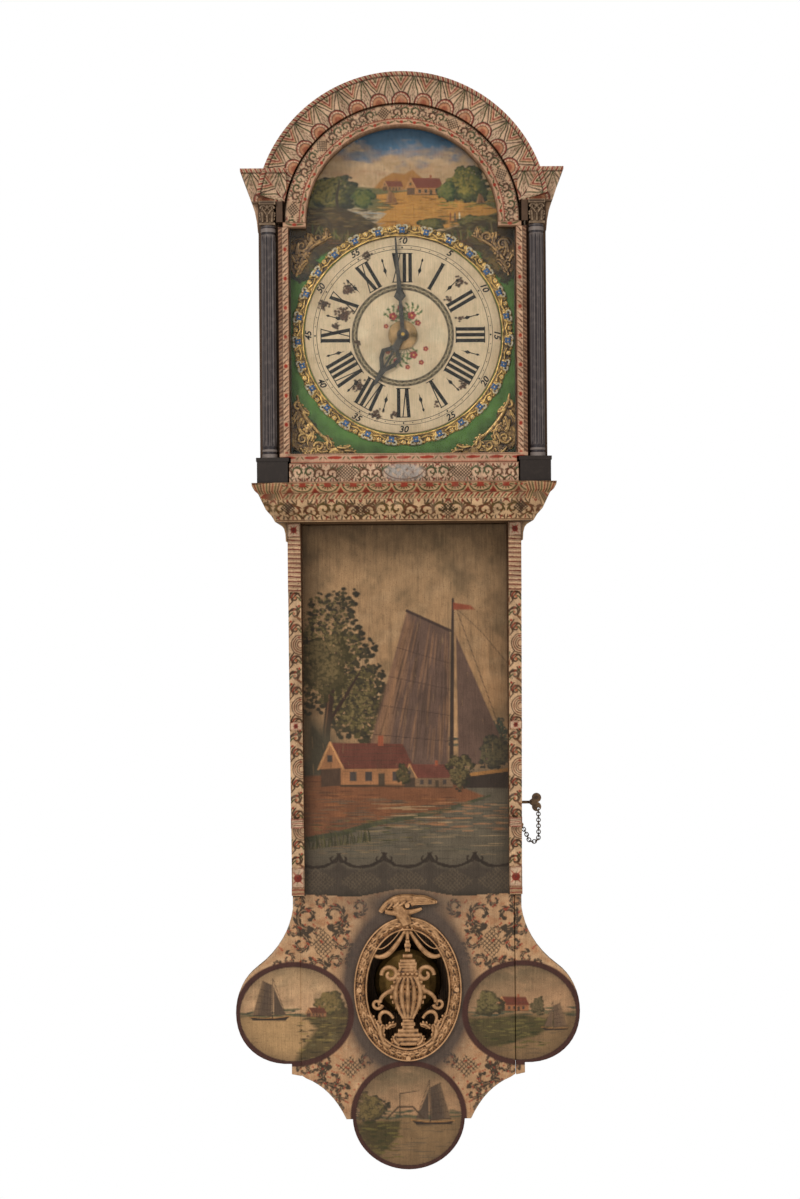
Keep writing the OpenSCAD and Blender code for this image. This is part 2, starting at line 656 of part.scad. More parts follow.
// The bars, the stud of the minute wheel, the posts of the hammer, and the cock that holds the pendulum
module movement_bars() color("#8b7a52") {
    bar(front_bar_y, [[great_z, pin_hole], [dial_z, through], [third_z, pin_hole], [escape_z, pin_hole],
        [pendulum_z, pin_hole]]);
    bar(mid_bar_y, [[great_z, pin_hole], [dial_z, pin_hole], [third_z, pin_hole], [escape_z, pin_hole],
        [pendulum_z, through]]);
    bar(back_bar_y, [[great_z, pin_hole], [dial_z, pin_hole], [third_z, pin_hole], [escape_z, pin_hole],
        [pendulum_z, through]]);
    translate([0, front_bar_y - bar_t + 1, minute_z]) rotate([90, 0, 0]) cylinder(h = 12, r = stud_r);
    for (y = [-101, -78]) difference() {
        translate([hammer_x - 4, y, plate_low + bar_t]) cube([8, bar_t, hammer_z + 6 - plate_low - bar_t]);
        translate([hammer_x, y - 1, hammer_z]) rotate([-90, 0, 0]) cylinder(h = bar_t + 2, r = 2 + play);
    }
    translate([-8, -60, plate_high]) cube([16, 23, bar_t]);
    translate([-8, -40, pendulum_z - 6]) cube([16, bar_t, plate_high + 1 - pendulum_z + 6]);
    translate([0, -39, pendulum_z]) rotate([90, 0, 0]) cylinder(h = 15, r = 1.5);
}
module sprocket(h) {
    cylinder(h = h, r = 12);
    for (z = [0, h - 1.5]) translate([0, 0, z]) cylinder(h = 1.5, r = 15);
}
module great_wheel() color("#b08a3e") {
    arbor(great_z, -137 + 0.3, -106 - 0.3);
    on_arbor(great_z, -114) gear(great_gear[0], great_gear[1], 3, 12);
    on_arbor(great_z, -126) sprocket(9);
}
module centre_wheel() color("#b08a3e") {
    on_arbor(dial_z, -142) cylinder(h = 142 - 106.3, r = 1.75);
    on_arbor(dial_z, -107) cylinder(h = 2.2, r = pivot_r);
    on_arbor(dial_z, -184.4) cylinder(h = 42.5, r = 2.2);
    on_arbor(dial_z, -180.9) cylinder(h = 38.9, r = 3);
    on_arbor(dial_z, -115.5) pinion(great_gear[1], 6, 30);
    on_arbor(dial_z, -131) gear(centre_gear[0], centre_gear[1], 2.5, 8);
    on_arbor(dial_z, -144.2) linear_extrude(2.8)
        polygon(teeth(motion_gear[0], motion_gear[1], 0.7, wheel_root, tooth_share));
}
module third_wheel() color("#b08a3e") {
    arbor(third_z, -136.7, -106.3);
    on_arbor(third_z, -132) pinion(centre_gear[1], 4.5, 0);
    on_arbor(third_z, -121) gear(third_gear[0], third_gear[1], 2, 6);
}
module escape_wheel() color("#b08a3e") {
    arbor(escape_z, -136.7, -106.3);
    on_arbor(escape_z, -122.5) pinion(third_gear[1], 5, 30);
    on_arbor(escape_z, -131.5) linear_extrude(1.5) difference() {
        polygon([for (i = [0 : 29], k = [0 : 2])
            let (a = i * 12 + [0, 1.2, 4.6][k], r = [escape_r, escape_r, escape_r - 3.5][k])
            [r * cos(a), r * sin(a)]]);
        circle(escape_r - 6);
    }
    on_arbor(escape_z, -131.5) linear_extrude(1.5) {
        square([2 * escape_r - 10, 3], center = true);
        square([3, 2 * escape_r - 10], center = true);
        circle(4);
    }
}
module minute_wheel() color("#b08a3e") on_arbor(minute_z, -149.5) difference() {
    union() {
        translate([0, 0, 5]) rotate(180 / motion_gear[0]) linear_extrude(2)
            polygon(teeth(motion_gear[0], motion_gear[1], 0.7, wheel_root, tooth_share));
        pinion(hour_module, 5.5, 0);
        cylinder(h = 9, r = stud_r + 0.55);
    }
    translate([0, 0, -1]) cylinder(h = 12, r = stud_r + play);
}
// Striking train, behind the middle bar: great wheel with its hammer pins, two wheels and the fly
hammer_pins = 12;
module strike_great_wheel() color("#b08a3e") {
    arbor(great_z, -102.7, -72.3);
    on_arbor(great_z, -80) gear(great_gear[0], great_gear[1], 3, 12);
    on_arbor(great_z, -95) sprocket(15.5);
    for (i = [0 : hammer_pins - 1]) on_arbor(great_z, -86) rotate(i * 360 / hammer_pins + 15)
        translate([32.5, 0, 0]) cylinder(h = 7, r = 1);
}
module strike_second_wheel() color("#b08a3e") {
    arbor(dial_z, -102.7, -72.3);
    on_arbor(dial_z, -81.5) pinion(great_gear[1], 6, 30);
    on_arbor(dial_z, -98) gear(centre_gear[0], centre_gear[1], 2.5, 8);
}
module strike_third_wheel() color("#b08a3e") {
    arbor(third_z, -102.7, -72.3);
    on_arbor(third_z, -99) pinion(centre_gear[1], 4.5, 0);
    on_arbor(third_z, -88) gear(third_gear[0], third_gear[1], 2, 6);
}
module strike_fly() color("#b08a3e") {
    arbor(escape_z, -102.7, -72.3);
    on_arbor(escape_z, -89.5) pinion(third_gear[1], 5, 30);
    translate([-13, -83, escape_z - 0.5]) cube([26, 8, 1]);
}

// Anchor with its two pallets over the escape wheel, and the crutch at the back of its arbor
anchor_right = [for (p = concat([[0, 4]], arc([0, -22], 20, 26, 80, 8, 8),
    [[20.5, -22], [17.8, -16.5], [13.5, -8.5], [6, -3.5], [0, -3.5]])) [p[0], p[1] + pendulum_z]];
module anchor() color("#5b5148") {
    on_arbor(pendulum_z, -136.7) cylinder(h = 136.7 - 58, r = 1.75);
    on_arbor(pendulum_z, -138.2) cylinder(h = 3, r = pivot_r);
    front(-129.5, 4) polygon(concat(anchor_right, flipped(anchor_right)));
    translate([-2, -61, pendulum_z - 64]) cube([4, 3, 66]);
    for (s = [-1, 1]) translate([s * 4 - 1, -61, pendulum_z - 64]) cube([2, 14, 3]);
    translate([-5, -61, pendulum_z - 64]) cube([10, 3, 3]);
}

// Hammer on its own arbor beside the striking wheel, and the bell on its post
hammer_x = 50;
hammer_z = plate_low + 93 + 2;
bell_y = -88;
bell_low = -88;
module hammer() color("#5b5148") {
    translate([hammer_x, -100.8, hammer_z]) rotate([-90, 0, 0]) cylinder(h = 25.6, r = 2);
    translate([hammer_x - 1.5, bell_y - 1.5, hammer_z]) cube([3, 3, -76 - hammer_z]);
    translate([35.8, bell_y, -76]) rotate([0, 90, 0]) cylinder(h = 17, r = 5);
    translate([36.5, -86, hammer_z - 1.5]) cube([13.5, 3, 3]);
}
module bell() color("#a58a55") {
    translate([0, bell_y, 0]) rotate_extrude() polygon(concat([[0, bell_low + 42], [0, bell_low + 39.5]],
        bezier([0, bell_low + 39.5], [22, bell_low + 39], [28, bell_low + 20], [31, bell_low], 8),
        [[31, bell_low], [34, bell_low]],
        reversed(bezier([0, bell_low + 42], [25, bell_low + 42], [31, bell_low + 22], [34, bell_low], 8))));
    translate([0, bell_y, plate_high + bar_t]) cylinder(h = bell_low + 40.5 - plate_high - bar_t, r = 3);
}

// Pendulum: an iron rod that hangs on the stud of the movement, and a lens bob behind the grille
rod_y = -50;
module pendulum_rod() color("#6d5a3c") {
    translate([0, rod_y + 2, pendulum_z]) rotate([90, 0, 0]) difference() {
        translate([0, 0, -0.5]) cylinder(h = 5, r = 4.5);
        translate([0, 0, -1]) cylinder(h = 6, r = 1.5 + play);
    }
    translate([0, rod_y, bob_z - bob_r - 22]) cylinder(h = pendulum_z - 4 - bob_z + bob_r + 22, r = 2);
    translate([0, rod_y, bob_z - bob_r - 14]) cylinder(h = 6, r = 7);
}
module pendulum_bob() color("#8a6f45") difference() {
    translate([0, rod_y, bob_z]) rotate([90, 0, 0]) rotate_extrude() polygon(concat([[0, -11]],
        arc([bob_r - 40, 0], 40, 11, -90, 90, 10), [[0, 11]]));
    translate([0, rod_y, bob_z - bob_r - 1]) cylinder(h = 2 * bob_r + 2, r = 2);
}

back_board();
trunk_side_left();
trunk_side_right();
front_board();
ears();
tail_bottom_board();
rails();
console_front();
console_returns();
console_boards();
hood_guides();
seat();
wall_hanger();
hanger_screws();
tail_grille();
grille_nails();
side_hatch();
hatch_hinge();
hatch_lock();
side_key();
key_chain();
hood_sides();
hood_windows();
hood_front_frame();
hood_roof();
cornice_arch();
cornice_sides();
columns();
capitals();
pedestals();
hood_lower_rail();
door_frame();
door_glass();
glazing_bead();
door_pins();
dial_plate();
dial_supports();
chapter_disc();
leaf_ring();
spandrels();
minute_hand();
hour_hand();
alarm_disc();
movement_plates();
movement_pillars();
movement_bars();
great_wheel();
centre_wheel();
third_wheel();
escape_wheel();
minute_wheel();
strike_great_wheel();
strike_second_wheel();
strike_third_wheel();
strike_fly();
anchor();
hammer();
bell();
pendulum_rod();
pendulum_bob();
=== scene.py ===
import math

import bmesh
import bpy
import numpy as np
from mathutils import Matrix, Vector
from mathutils.geometry import delaunay_2d_cdt


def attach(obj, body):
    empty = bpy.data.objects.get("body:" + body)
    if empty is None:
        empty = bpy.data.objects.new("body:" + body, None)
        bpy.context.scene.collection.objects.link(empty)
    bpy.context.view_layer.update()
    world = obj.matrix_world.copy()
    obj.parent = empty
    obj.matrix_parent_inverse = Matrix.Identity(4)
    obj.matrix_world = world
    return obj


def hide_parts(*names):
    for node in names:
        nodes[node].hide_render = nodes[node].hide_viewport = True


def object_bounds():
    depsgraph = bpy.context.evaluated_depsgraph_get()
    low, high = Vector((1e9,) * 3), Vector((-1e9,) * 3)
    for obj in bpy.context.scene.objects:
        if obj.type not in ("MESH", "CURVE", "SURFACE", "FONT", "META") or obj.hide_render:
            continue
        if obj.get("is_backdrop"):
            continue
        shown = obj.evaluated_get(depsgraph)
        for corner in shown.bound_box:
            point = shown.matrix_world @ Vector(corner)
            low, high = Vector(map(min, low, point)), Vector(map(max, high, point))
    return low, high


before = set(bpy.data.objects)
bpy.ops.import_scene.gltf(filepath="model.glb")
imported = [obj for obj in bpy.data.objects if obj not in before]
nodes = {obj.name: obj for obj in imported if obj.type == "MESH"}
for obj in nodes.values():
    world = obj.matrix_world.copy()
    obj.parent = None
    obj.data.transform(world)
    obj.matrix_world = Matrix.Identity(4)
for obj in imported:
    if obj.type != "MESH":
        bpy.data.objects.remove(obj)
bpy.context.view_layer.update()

# The case behind everything is plain deal and oak, never painted where it does not show.
# Two centuries of handling and wax have browned it, with the grain running down the long boards.
MM = 0.001


def rgb(code):
    """A sRGB hex colour as linear red, green and blue."""
    value = np.array([int(code[i:i + 2], 16) for i in (1, 3, 5)]) / 255
    return np.where(value <= 0.04045, value / 12.92, ((value + 0.055) / 1.055) ** 2.4)


def add(tree, kind, settings=None, inputs=None):
    """Adds a shader node, sets its properties and fills or links its inputs."""
    made = tree.nodes.new("ShaderNode" + kind)
    for name, value in (settings or {}).items():
        setattr(made, name, value)
    for name, value in (inputs or {}).items():
        if isinstance(value, bpy.types.NodeSocket):
            tree.links.new(value, made.inputs[name])
        else:
            made.inputs[name].default_value = value
    return made


def material(name, roughness, metallic=0.0, ior=None, specular=0.2):
    """A new material with its shader's plain values set; returns it with its tree and its shader.
    The specular level is low, because two centuries of dust and wear leave paint and wood nearly matt."""
    made = bpy.data.materials.new(name)
    made.use_nodes = True
    shader = made.node_tree.nodes["Principled BSDF"]
    shader.inputs["Roughness"].default_value = roughness
    shader.inputs["Metallic"].default_value = metallic
    shader.inputs["Specular IOR Level"].default_value = 0.5 if metallic else specular
    if ior:
        shader.inputs["IOR"].default_value = ior
    return made, made.node_tree, shader


def colour_of(code):
    """The same, with full cover, as a shader's socket takes it."""
    return (*rgb(code), 1)


def noise(tree, place, scale, detail, roughness=0.5):
    return add(tree, "TexNoise", inputs={"Vector": place, "Scale": scale, "Detail": detail,
                                         "Roughness": roughness}).outputs["Fac"]


def remap(tree, value, low, high, to_low=0.0, to_high=1.0):
    """A value carried from one range to another."""
    return add(tree, "MapRange", inputs={"Value": value, "From Min": low, "From Max": high, "To Min": to_low,
                                         "To Max": to_high}).outputs[0]


def join(tree, operation, first, second, clamp=False):
    return add(tree, "Math", {"operation": operation, "use_clamp": clamp}, {0: first, 1: second}).outputs[0]


def mix(tree, share, first, second, kind="MIX"):
    inputs = {"Fac": share, "Color1": first, "Color2": second}
    return add(tree, "MixRGB", {"blend_type": kind}, inputs).outputs["Color"]


def ramp(tree, value, *stops):
    """A colour between stops, each given as its place from 0 to 1 and its colour."""
    made = add(tree, "ValToRGB", inputs={"Fac": value})
    steps = made.color_ramp.elements
    for step, (at, code) in zip(steps, (stops[0], stops[-1])):
        step.position, step.color = at, colour_of(code)
    for at, code in stops[1:-1]:
        steps.new(at).color = colour_of(code)
    return made.outputs["Color"]


def here(tree):
    return add(tree, "TexCoord").outputs["Object"]


def stretched(tree, place, scales):
    return add(tree, "Mapping", inputs={"Vector": place, "Scale": scales}).outputs["Vector"]


def surface(tree, shader, colour, height, strength, depth):
    """Links the colour, and a bump of the height, whose depth is in millimetres."""
    bump = add(tree, "Bump", inputs={"Height": height, "Strength": strength, "Distance": depth * MM})
    tree.links.new(colour, shader.inputs["Base Color"])
    tree.links.new(bump.outputs["Normal"], shader.inputs["Normal"])


def wood(name, dark, light, grain=(1.6, 1.6, 0.06)):
    """Bare wood. Growth rings show as streaks about 3 mm wide; grain is the noise scale along each axis."""
    made, tree, shader = material(name, 0.55, ior=1.5)
    place = here(tree)
    streak = noise(tree, stretched(tree, place, [330 * g for g in grain]), 1.0, 6.0, 0.65)
    shade = remap(tree, noise(tree, place, 14.0, 3.0), 0.3, 0.7, 0.62, 1.0)
    colour = mix(tree, 1.0, ramp(tree, streak, (0.35, dark), (0.68, light)), shade, "MULTIPLY")
    surface(tree, shader, colour, streak, 0.35, 0.3)
    return made


def dress(finish, *names):
    """Gives a CAD node its material."""
    for name in names:
        nodes[name].data.materials.clear()
        nodes[name].data.materials.append(finish)


aged_oak = wood("aged_oak", "#3b281a", "#8a6745")
dress(aged_oak, "back_board", "trunk_side_left", "trunk_side_right", "tail_bottom_board", "side_hatch",
      "hood_sides", "glazing_bead")
dress(wood("aged_oak_lying", "#3b281a", "#8a6745", grain=(0.06, 1.6, 1.6)), "console_boards", "seat")
dress(wood("aged_oak_deep", "#3b281a", "#84623f", grain=(1.6, 0.06, 1.6)), "hood_roof", "hood_guides")


# The front board and its two glued ears are painted in oils on a dark brown ground: a river view on
# the trunk, and on the tail three framed roundels between cream scrollwork. The paint is thin, matt
# where it is worn, crackled and browned by old varnish, and the board's grain shows through it.
class Panel:
    """Points of a painted face in millimetres, across and up, with the paint laid on each. soft is how
    far the edge of a stroke runs out."""
    soft = 0.9

    def __init__(self, across, up, ground):
        self.across, self.up = np.asarray(across, float), np.asarray(up, float)
        self.paint = np.tile(rgb(ground), (len(self.across), 1))
        self.mask = np.ones(len(self.across))

    def seen_as(self, across, up, mask=None):
        """The same paint, with other coordinates, for a motif that repeats or turns."""
        view = object.__new__(Panel)
        view.across, view.up, view.paint = across, up, self.paint
        view.mask = self.mask if mask is None else self.mask * mask
        return view

    def lay(self, colour, cover=1.0, where=slice(None)):
        cover = (np.clip(cover, 0, 1) * self.mask[where])[:, None]
        self.paint[where] = self.paint[where] * (1 - cover) + rgb(colour) * cover

    def mottle(self, colour, share, size, seed, layers=3, wide=1.0, tall=1.0, shift=0.0):
        """Lays a colour in soft patches, stretched across or up."""
        patches = ripple(wide * self.across, tall * self.up, size, seed, layers) + shift
        self.lay(colour, share * np.clip(patches, 0, 1))

    def near(self, points, reach):
        low, high = points.min(0) - reach, points.max(0) + reach
        return np.flatnonzero((self.across > low[0]) & (self.across < high[0])
                              & (self.up > low[1]) & (self.up < high[1]))

    def brush(self, points, width, colour, strength=1.0, start=0.5, end=0.5):
        """One stroke. start and end are the shares of its width at its two ends."""
        points = np.asarray(points, float)
        where = self.near(points, width + 1)
        if not len(where):
            return
        p = np.stack([self.across[where], self.up[where]], 1)
        edge = np.full(len(where), 1e9)
        count = len(points) - 1
        for i in range(count):
            run = points[i + 1] - points[i]
            t = np.clip((p - points[i]) @ run / max(run @ run, 1e-9), 0, 1)
            gap = np.hypot(*(p - points[i] - t[:, None] * run).T)
            way = (i + t) / count
            half = width / 2 * (1 - (1 - start) * (1 - way) ** 3 - (1 - end) * way ** 3)
            edge = np.minimum(edge, gap - half)
        self.lay(colour, (0.5 - edge / self.soft) * strength, where)

    def dab(self, x, z, wide, high, colour, strength=1.0, turn=0.0):
        """An oval touch of the brush."""
        reach = max(wide, high) + 1
        where = self.near(np.array([[x, z]]), reach)
        if not len(where):
            return
        c, s = math.cos(math.radians(turn)), math.sin(math.radians(turn))
        dx, dz = self.across[where] - x, self.up[where] - z
        far = np.hypot((dx * c + dz * s) / wide, (dz * c - dx * s) / high)
        self.lay(colour, (0.5 + (1 - far) * min(wide, high) / self.soft) * strength, where)

    def level(self, x0, x1, z, width, colour, strength=0.9):
        """A level line of one width."""
        self.brush([(x0, z), (x1, z)], width, colour, strength, 1, 1)

    def fill(self, outline, colour, strength=1.0, soft=1.0):
        """A flat shape with an edge as soft as given, in millimetres."""
        outline = np.asarray(outline, float)
        where = self.near(outline, soft)
        if not len(where):
            return
        x, z = self.across[where], self.up[where]
        inside = np.zeros(len(where), bool)
        gap = np.full(len(where), 1e9)
        for (ax, az), (bx, bz) in zip(outline, np.roll(outline, -1, 0)):
            run = max((bx - ax) ** 2 + (bz - az) ** 2, 1e-9)
            t = np.clip(((x - ax) * (bx - ax) + (z - az) * (bz - az)) / run, 0, 1)
            gap = np.minimum(gap, np.hypot(x - ax - t * (bx - ax), z - az - t * (bz - az)))
            if az != bz:
                inside ^= ((az > z) != (bz > z)) & (x < (bx - ax) * (z - az) / (bz - az) + ax)
        self.lay(colour, (0.5 + np.where(inside, gap, -gap) / soft) * strength, where)


def ripple(across, up, size, seed, layers=3):
    """Smooth noise from about -1 to 1, with waves of about the given size."""
    draw = np.random.default_rng(seed)
    total, weight = np.zeros(len(across)), 0.0
    for layer in range(layers):
        share = 0.6 ** layer
        for _ in range(5):
            angle, phase = draw.uniform(0, 2 * math.pi, 2)
            pace = 2 * math.pi / size * 2 ** layer * draw.uniform(0.7, 1.3)
            total += share * np.sin(pace * (across * math.cos(angle) + up * math.sin(angle)) + phase)
        weight += share
    return total / weight / 2.2


def arc(x, z, radius, start, end, count=10, high=None):
    """Points along an arc, with angles in degrees from the right, turning upwards."""
    turn = np.radians(np.linspace(start, end, count))
    return np.stack([x + radius * np.cos(turn), z + (high or radius) * np.sin(turn)], 1)


def curl(x, z, radius, start, sweep, close=0.75, count=18):
    """A scroll: an arc that winds in towards its centre."""
    way = np.linspace(0, 1, count)
    turn = np.radians(start + sweep * way)
    reach = radius * (1 - close * way)
    return np.stack([x + reach * np.cos(turn), z + reach * np.sin(turn)], 1)


def off(x, z, radius, turn):
    """The point at a distance from another, at an angle in degrees."""
    a = math.radians(turn)
    return x + radius * math.cos(a), z + radius * math.sin(a)


def bezier(a, b, c, d, count=12):
    t = np.linspace(0, 1, count)[:, None]
    return ((1 - t) ** 3 * np.array(a) + 3 * (1 - t) ** 2 * t * np.array(b)
            + 3 * (1 - t) * t ** 2 * np.array(c) + t ** 3 * np.array(d))


def resample(loop, step):
    """The closed loop with points about a step apart, corners kept."""
    made = []
    for a, b in zip(loop, np.roll(loop, -1, 0)):
        if np.hypot(*(b - a)) > 0.05:
            count = max(1, round(np.hypot(*(b - a)) / step))
            made += [a + (b - a) * i / count for i in range(count)]
    return np.array(made)


def twice_area(loop):
    ahead = np.roll(loop, -1, 0)
    return np.sum(loop[:, 0] * ahead[:, 1] - ahead[:, 0] * loop[:, 1])


def inset(loop, by):
    """The loop moved to its left, which is into the wood."""
    run = np.roll(loop, -1, 0) - np.roll(loop, 1, 0)
    run /= np.maximum(np.hypot(*run.T), 1e-9)[:, None]
    return loop + by * np.stack([-run[:, 1], run[:, 0]], 1)


def rows_inside(loops, step):
    """Staggered rows of points between the loops."""
    made = []
    low, high = loops[0][:, 1].min(), loops[0][:, 1].max()
    for number, z in enumerate(np.arange(low + 0.6 * step, high - 0.3 * step, 0.87 * step)):
        hits = []
        for loop in loops:
            ahead = np.roll(loop, -1, 0)
            over = (loop[:, 1] <= z) != (ahead[:, 1] <= z)
            a, b = loop[over], ahead[over]
            hits.append(a[:, 0] + (z - a[:, 1]) * (b[:, 0] - a[:, 0]) / (b[:, 1] - a[:, 1]))
        hits = np.sort(np.concatenate(hits))
        for x0, x1 in zip(hits[::2], hits[1::2]):
            first = math.ceil((x0 + 0.6 * step) / step) + 0.5 * (number % 2)
            xs = np.arange(first * step, x1 - 0.55 * step, step)
            made.append(np.stack([xs, np.full(len(xs), z)], 1))
    return np.concatenate(made)


def mesh_object(name, points, faces, body, smooth=True):
    """An object from points in millimetres, riding on its body."""
    mesh = bpy.data.meshes.new(name)
    mesh.from_pydata((np.asarray(points) * MM).tolist(), [], faces)
    mesh.update()
    if smooth:
        mesh.polygons.foreach_set("use_smooth", [True] * len(mesh.polygons))
    made = bpy.data.objects.new(name, mesh)
    bpy.context.scene.collection.objects.link(made)
    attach(made, body)
    return made


def lay_paint(thing, paint):
    """Stores the paint of every point on the mesh, for the material to read."""
    layer = thing.data.color_attributes.new("paint", "FLOAT_COLOR", "POINT")
    colours = np.c_[np.clip(paint, 0, 1), np.ones(len(paint))]
    layer.data.foreach_set("color", colours.astype(np.float32).ravel())



def triangles(points, loops, fine):
    """Triangles between the loops, whose points come first in points, in order."""
    edges, first = [], 0
    for loop in loops:
        edges += [(first + i, first + (i + 1) % len(loop)) for i in range(len(loop))]
        first += len(loop)
    _, _, found, source, *_ = delaunay_2d_cdt([Vector(p) for p in points], edges, [], 1, 1e-6)
    made = np.array([[source[i][0] for i in face] for face in found])
    middle = points[made].mean(1)
    suspects = (made < first).all(1)
    inside = np.zeros(len(made), bool)
    for loop in loops:
        for (ax, az), (bx, bz) in zip(loop, np.roll(loop, -1, 0)):
            if az != bz:
                x, z = middle[suspects].T
                inside[suspects] ^= ((az > z) != (bz > z)) & (x < (bx - ax) * (z - az) / (bz - az) + ax)
    return made[inside | ~suspects] if fine else made[inside]


def board(name, loops, y_front, y_back, step, body):
    """A flat board with a fine front face and eased edges. Loops are its outline and holes, across and up."""
    edge = 0.5
    loops = [resample(np.asarray(loop, float), step) for loop in loops]
    loops = [loop if (twice_area(loop) > 0) == (i == 0) else loop[::-1] for i, loop in enumerate(loops)]
    inner = [inset(loop, edge) for loop in loops]
    rim, outer = np.concatenate(inner), np.concatenate(loops)
    middle = rows_inside(inner, step)
    flat = np.concatenate([rim, middle])
    front = triangles(flat, inner, True)
    n, m = len(flat), len(outer)
    points = np.concatenate([
        np.c_[flat[:, 0], np.full(n, y_front), flat[:, 1]],
        np.c_[outer[:, 0], np.full(m, y_front + edge), outer[:, 1]],
        np.c_[outer[:, 0], np.full(m, y_back), outer[:, 1]]])
    faces = front.tolist() + (triangles(outer, loops, False)[:, ::-1] + n + m).tolist()
    first = 0
    for loop in loops:
        for i in range(len(loop)):
            a, b = first + i, first + (i + 1) % len(loop)
            faces += [(a, n + a, n + b, b), (n + a, n + m + a, n + m + b, n + b)]
        first += len(loop)
    made = mesh_object(name, points, faces, body)
    made.data.set_sharp_from_angle(angle=math.radians(50))
    return made, points


def oil_paint(name, crackle, dirt, roughness, fleck):
    """Old oil paint on wood: fine crackle about 2.5 mm apart, dirt in broad patches, a soft varnish sheen."""
    made, tree, shader = material(name, roughness, ior=1.48)
    place = here(tree)
    paint = add(tree, "VertexColor", {"layer_name": "paint"}).outputs["Color"]
    grain = noise(tree, stretched(tree, place, (900, 900, 40)), 1.0, 4.0)
    flakes = add(tree, "TexVoronoi", {"feature": "DISTANCE_TO_EDGE"}, {"Vector": place, "Scale": 400.0})
    crack = remap(tree, flakes.outputs["Distance"], 0.0, 0.06, 1 - crackle, 1.0)
    shade = remap(tree, noise(tree, place, 55.0, 6.0, 0.6), 0.3, 0.62, 1 - dirt, 1.06)
    streak = remap(tree, grain, 0.3, 0.7, 0.86, 1.1)
    worn = join(tree, "MULTIPLY", join(tree, "MULTIPLY", crack, shade), streak)
    lost = remap(tree, noise(tree, place, 420.0, 3.0), 0.66, 0.7, 0.0, fleck)
    toned = mix(tree, lost, mix(tree, 1.0, paint, worn, "MULTIPLY"), colour_of("#4a3324"))
    surface(tree, shader, toned, join(tree, "ADD", crack, grain), 0.3, 0.15)
    return made


def painted_moulding(name, front, body, back, node, panel):
    """A moulding from a grid of points on its face, with flat ends. back is (axis, value) of its flat back.
    The panel's paint lies on the face, and the back is bare wood."""
    rows, cols = front.shape[:2]
    points, made, count = front.reshape(-1, 3), [], rows * cols
    left, right = np.arange(rows) * cols, np.arange(rows) * cols + cols - 1
    rear_left, rear_right = left, right
    if back:
        rear = front[:, [0, -1]].copy()
        rear[:, :, back[0]] = back[1]
        points = np.concatenate([points, rear.reshape(-1, 3)])
        rear_left, rear_right = count + 2 * np.arange(rows), count + 2 * np.arange(rows) + 1
    for i in range(rows - 1):
        a, b = left[i], left[i + 1]
        made += [(a + j, b + j, b + j + 1, a + j + 1) for j in range(cols - 1)]
        if back:
            made += [(left[i], rear_left[i], rear_left[i + 1], left[i + 1]),
                     (right[i], right[i + 1], rear_right[i + 1], rear_right[i])]
        made.append((rear_left[i], rear_right[i], rear_right[i + 1], rear_left[i + 1]))
    for i in (0, rows - 1):
        made.append(list(range(left[i], right[i] + 1)) + ([rear_right[i], rear_left[i]] if back else []))
    thing = mesh_object(name, points, [[int(k) for k in f] for f in made], body)
    turned_out = bmesh.new()
    turned_out.from_mesh(thing.data)
    bmesh.ops.recalc_face_normals(turned_out, faces=turned_out.faces)
    turned_out.to_mesh(thing.data)
    turned_out.free()
    thing.data.set_sharp_from_angle(angle=math.radians(40))
    bare = np.tile(rgb("#5a432f"), (2 * rows, 1))
    lay_paint(thing, np.concatenate([panel.paint, bare])[:len(thing.data.vertices)])
    thing.data.materials.append(frieze_paint)
    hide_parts(node)


def along(steps, spacing):
    """Points of a broken line about a spacing apart, corners kept."""
    steps = [np.array(s, float) for s in steps]
    made = [steps[0]]
    for a, b in zip(steps, steps[1:]):
        count = max(1, round(np.hypot(*(b - a)[:2]) / spacing))
        made += [a + (b - a) * i / count for i in range(1, count + 1)]
    return np.array(made)


CREAM, PINK, RED, BRICK, BERRY = "#cfa988", "#c28a6b", "#96301f", "#7f2c1e", "#9c3a24"
GREEN, BROWN, INK = "#454a24", "#563620", "#33261a"


def cells(panel, pitch, mirror=True, start=0.0):
    """The panel folded into cells of one width, every second one mirrored, with the motif drawn round 0."""
    number = np.floor((panel.across - start) / pitch + 0.5)
    across = panel.across - start - number * pitch
    if mirror:
        across = np.where(number % 2 == 1, -across, across)
    return panel.seen_as(across, panel.up)


def hand_drawn(panel, by, seed):
    """Shifts where the motifs fall by a little, so that no two strokes are the same."""
    across = panel.across + by * ripple(panel.across, panel.up, 16, seed)
    return panel.seen_as(across, panel.up + by * ripple(panel.across, panel.up, 13, seed + 50))


def turned(steps, x, z, turn):
    """Points turned about 0 by an angle in degrees, and moved."""
    c, s = math.cos(math.radians(turn)), math.sin(math.radians(turn))
    return np.stack([x + steps[:, 0] * c - steps[:, 1] * s, z + steps[:, 0] * s + steps[:, 1] * c], 1)


def comma(panel, x, z, length, turn, bend, width, colour, strength=1.0):
    """A leaf of one curved stroke, thick where the brush lands and thin where it lifts."""
    steps = bezier((0, 0), (0.4 * length, 0), (0.8 * length, 0.35 * bend * length), (length, bend * length))
    panel.brush(turned(steps, x, z, turn), width, colour, strength, 1.0, 0.15)


def lattice(panel, x, z, wide, high, step, colour, width):
    """A diamond of crossed lines."""
    inside = np.abs(panel.across - x) / wide + np.abs(panel.up - z) / high < 1
    view = panel.seen_as(panel.across, panel.up, inside)
    for k in np.arange(-4, 5):
        for s in (-1, 1):
            line = [(x + k * step - s * high, z - high), (x + k * step + s * high, z + high)]
            view.brush(line, width, colour, 0.9)


def heading(at, ahead):
    """The angle of a step, in degrees."""
    return math.degrees(math.atan2(ahead[1] - at[1], ahead[0] - at[0]))


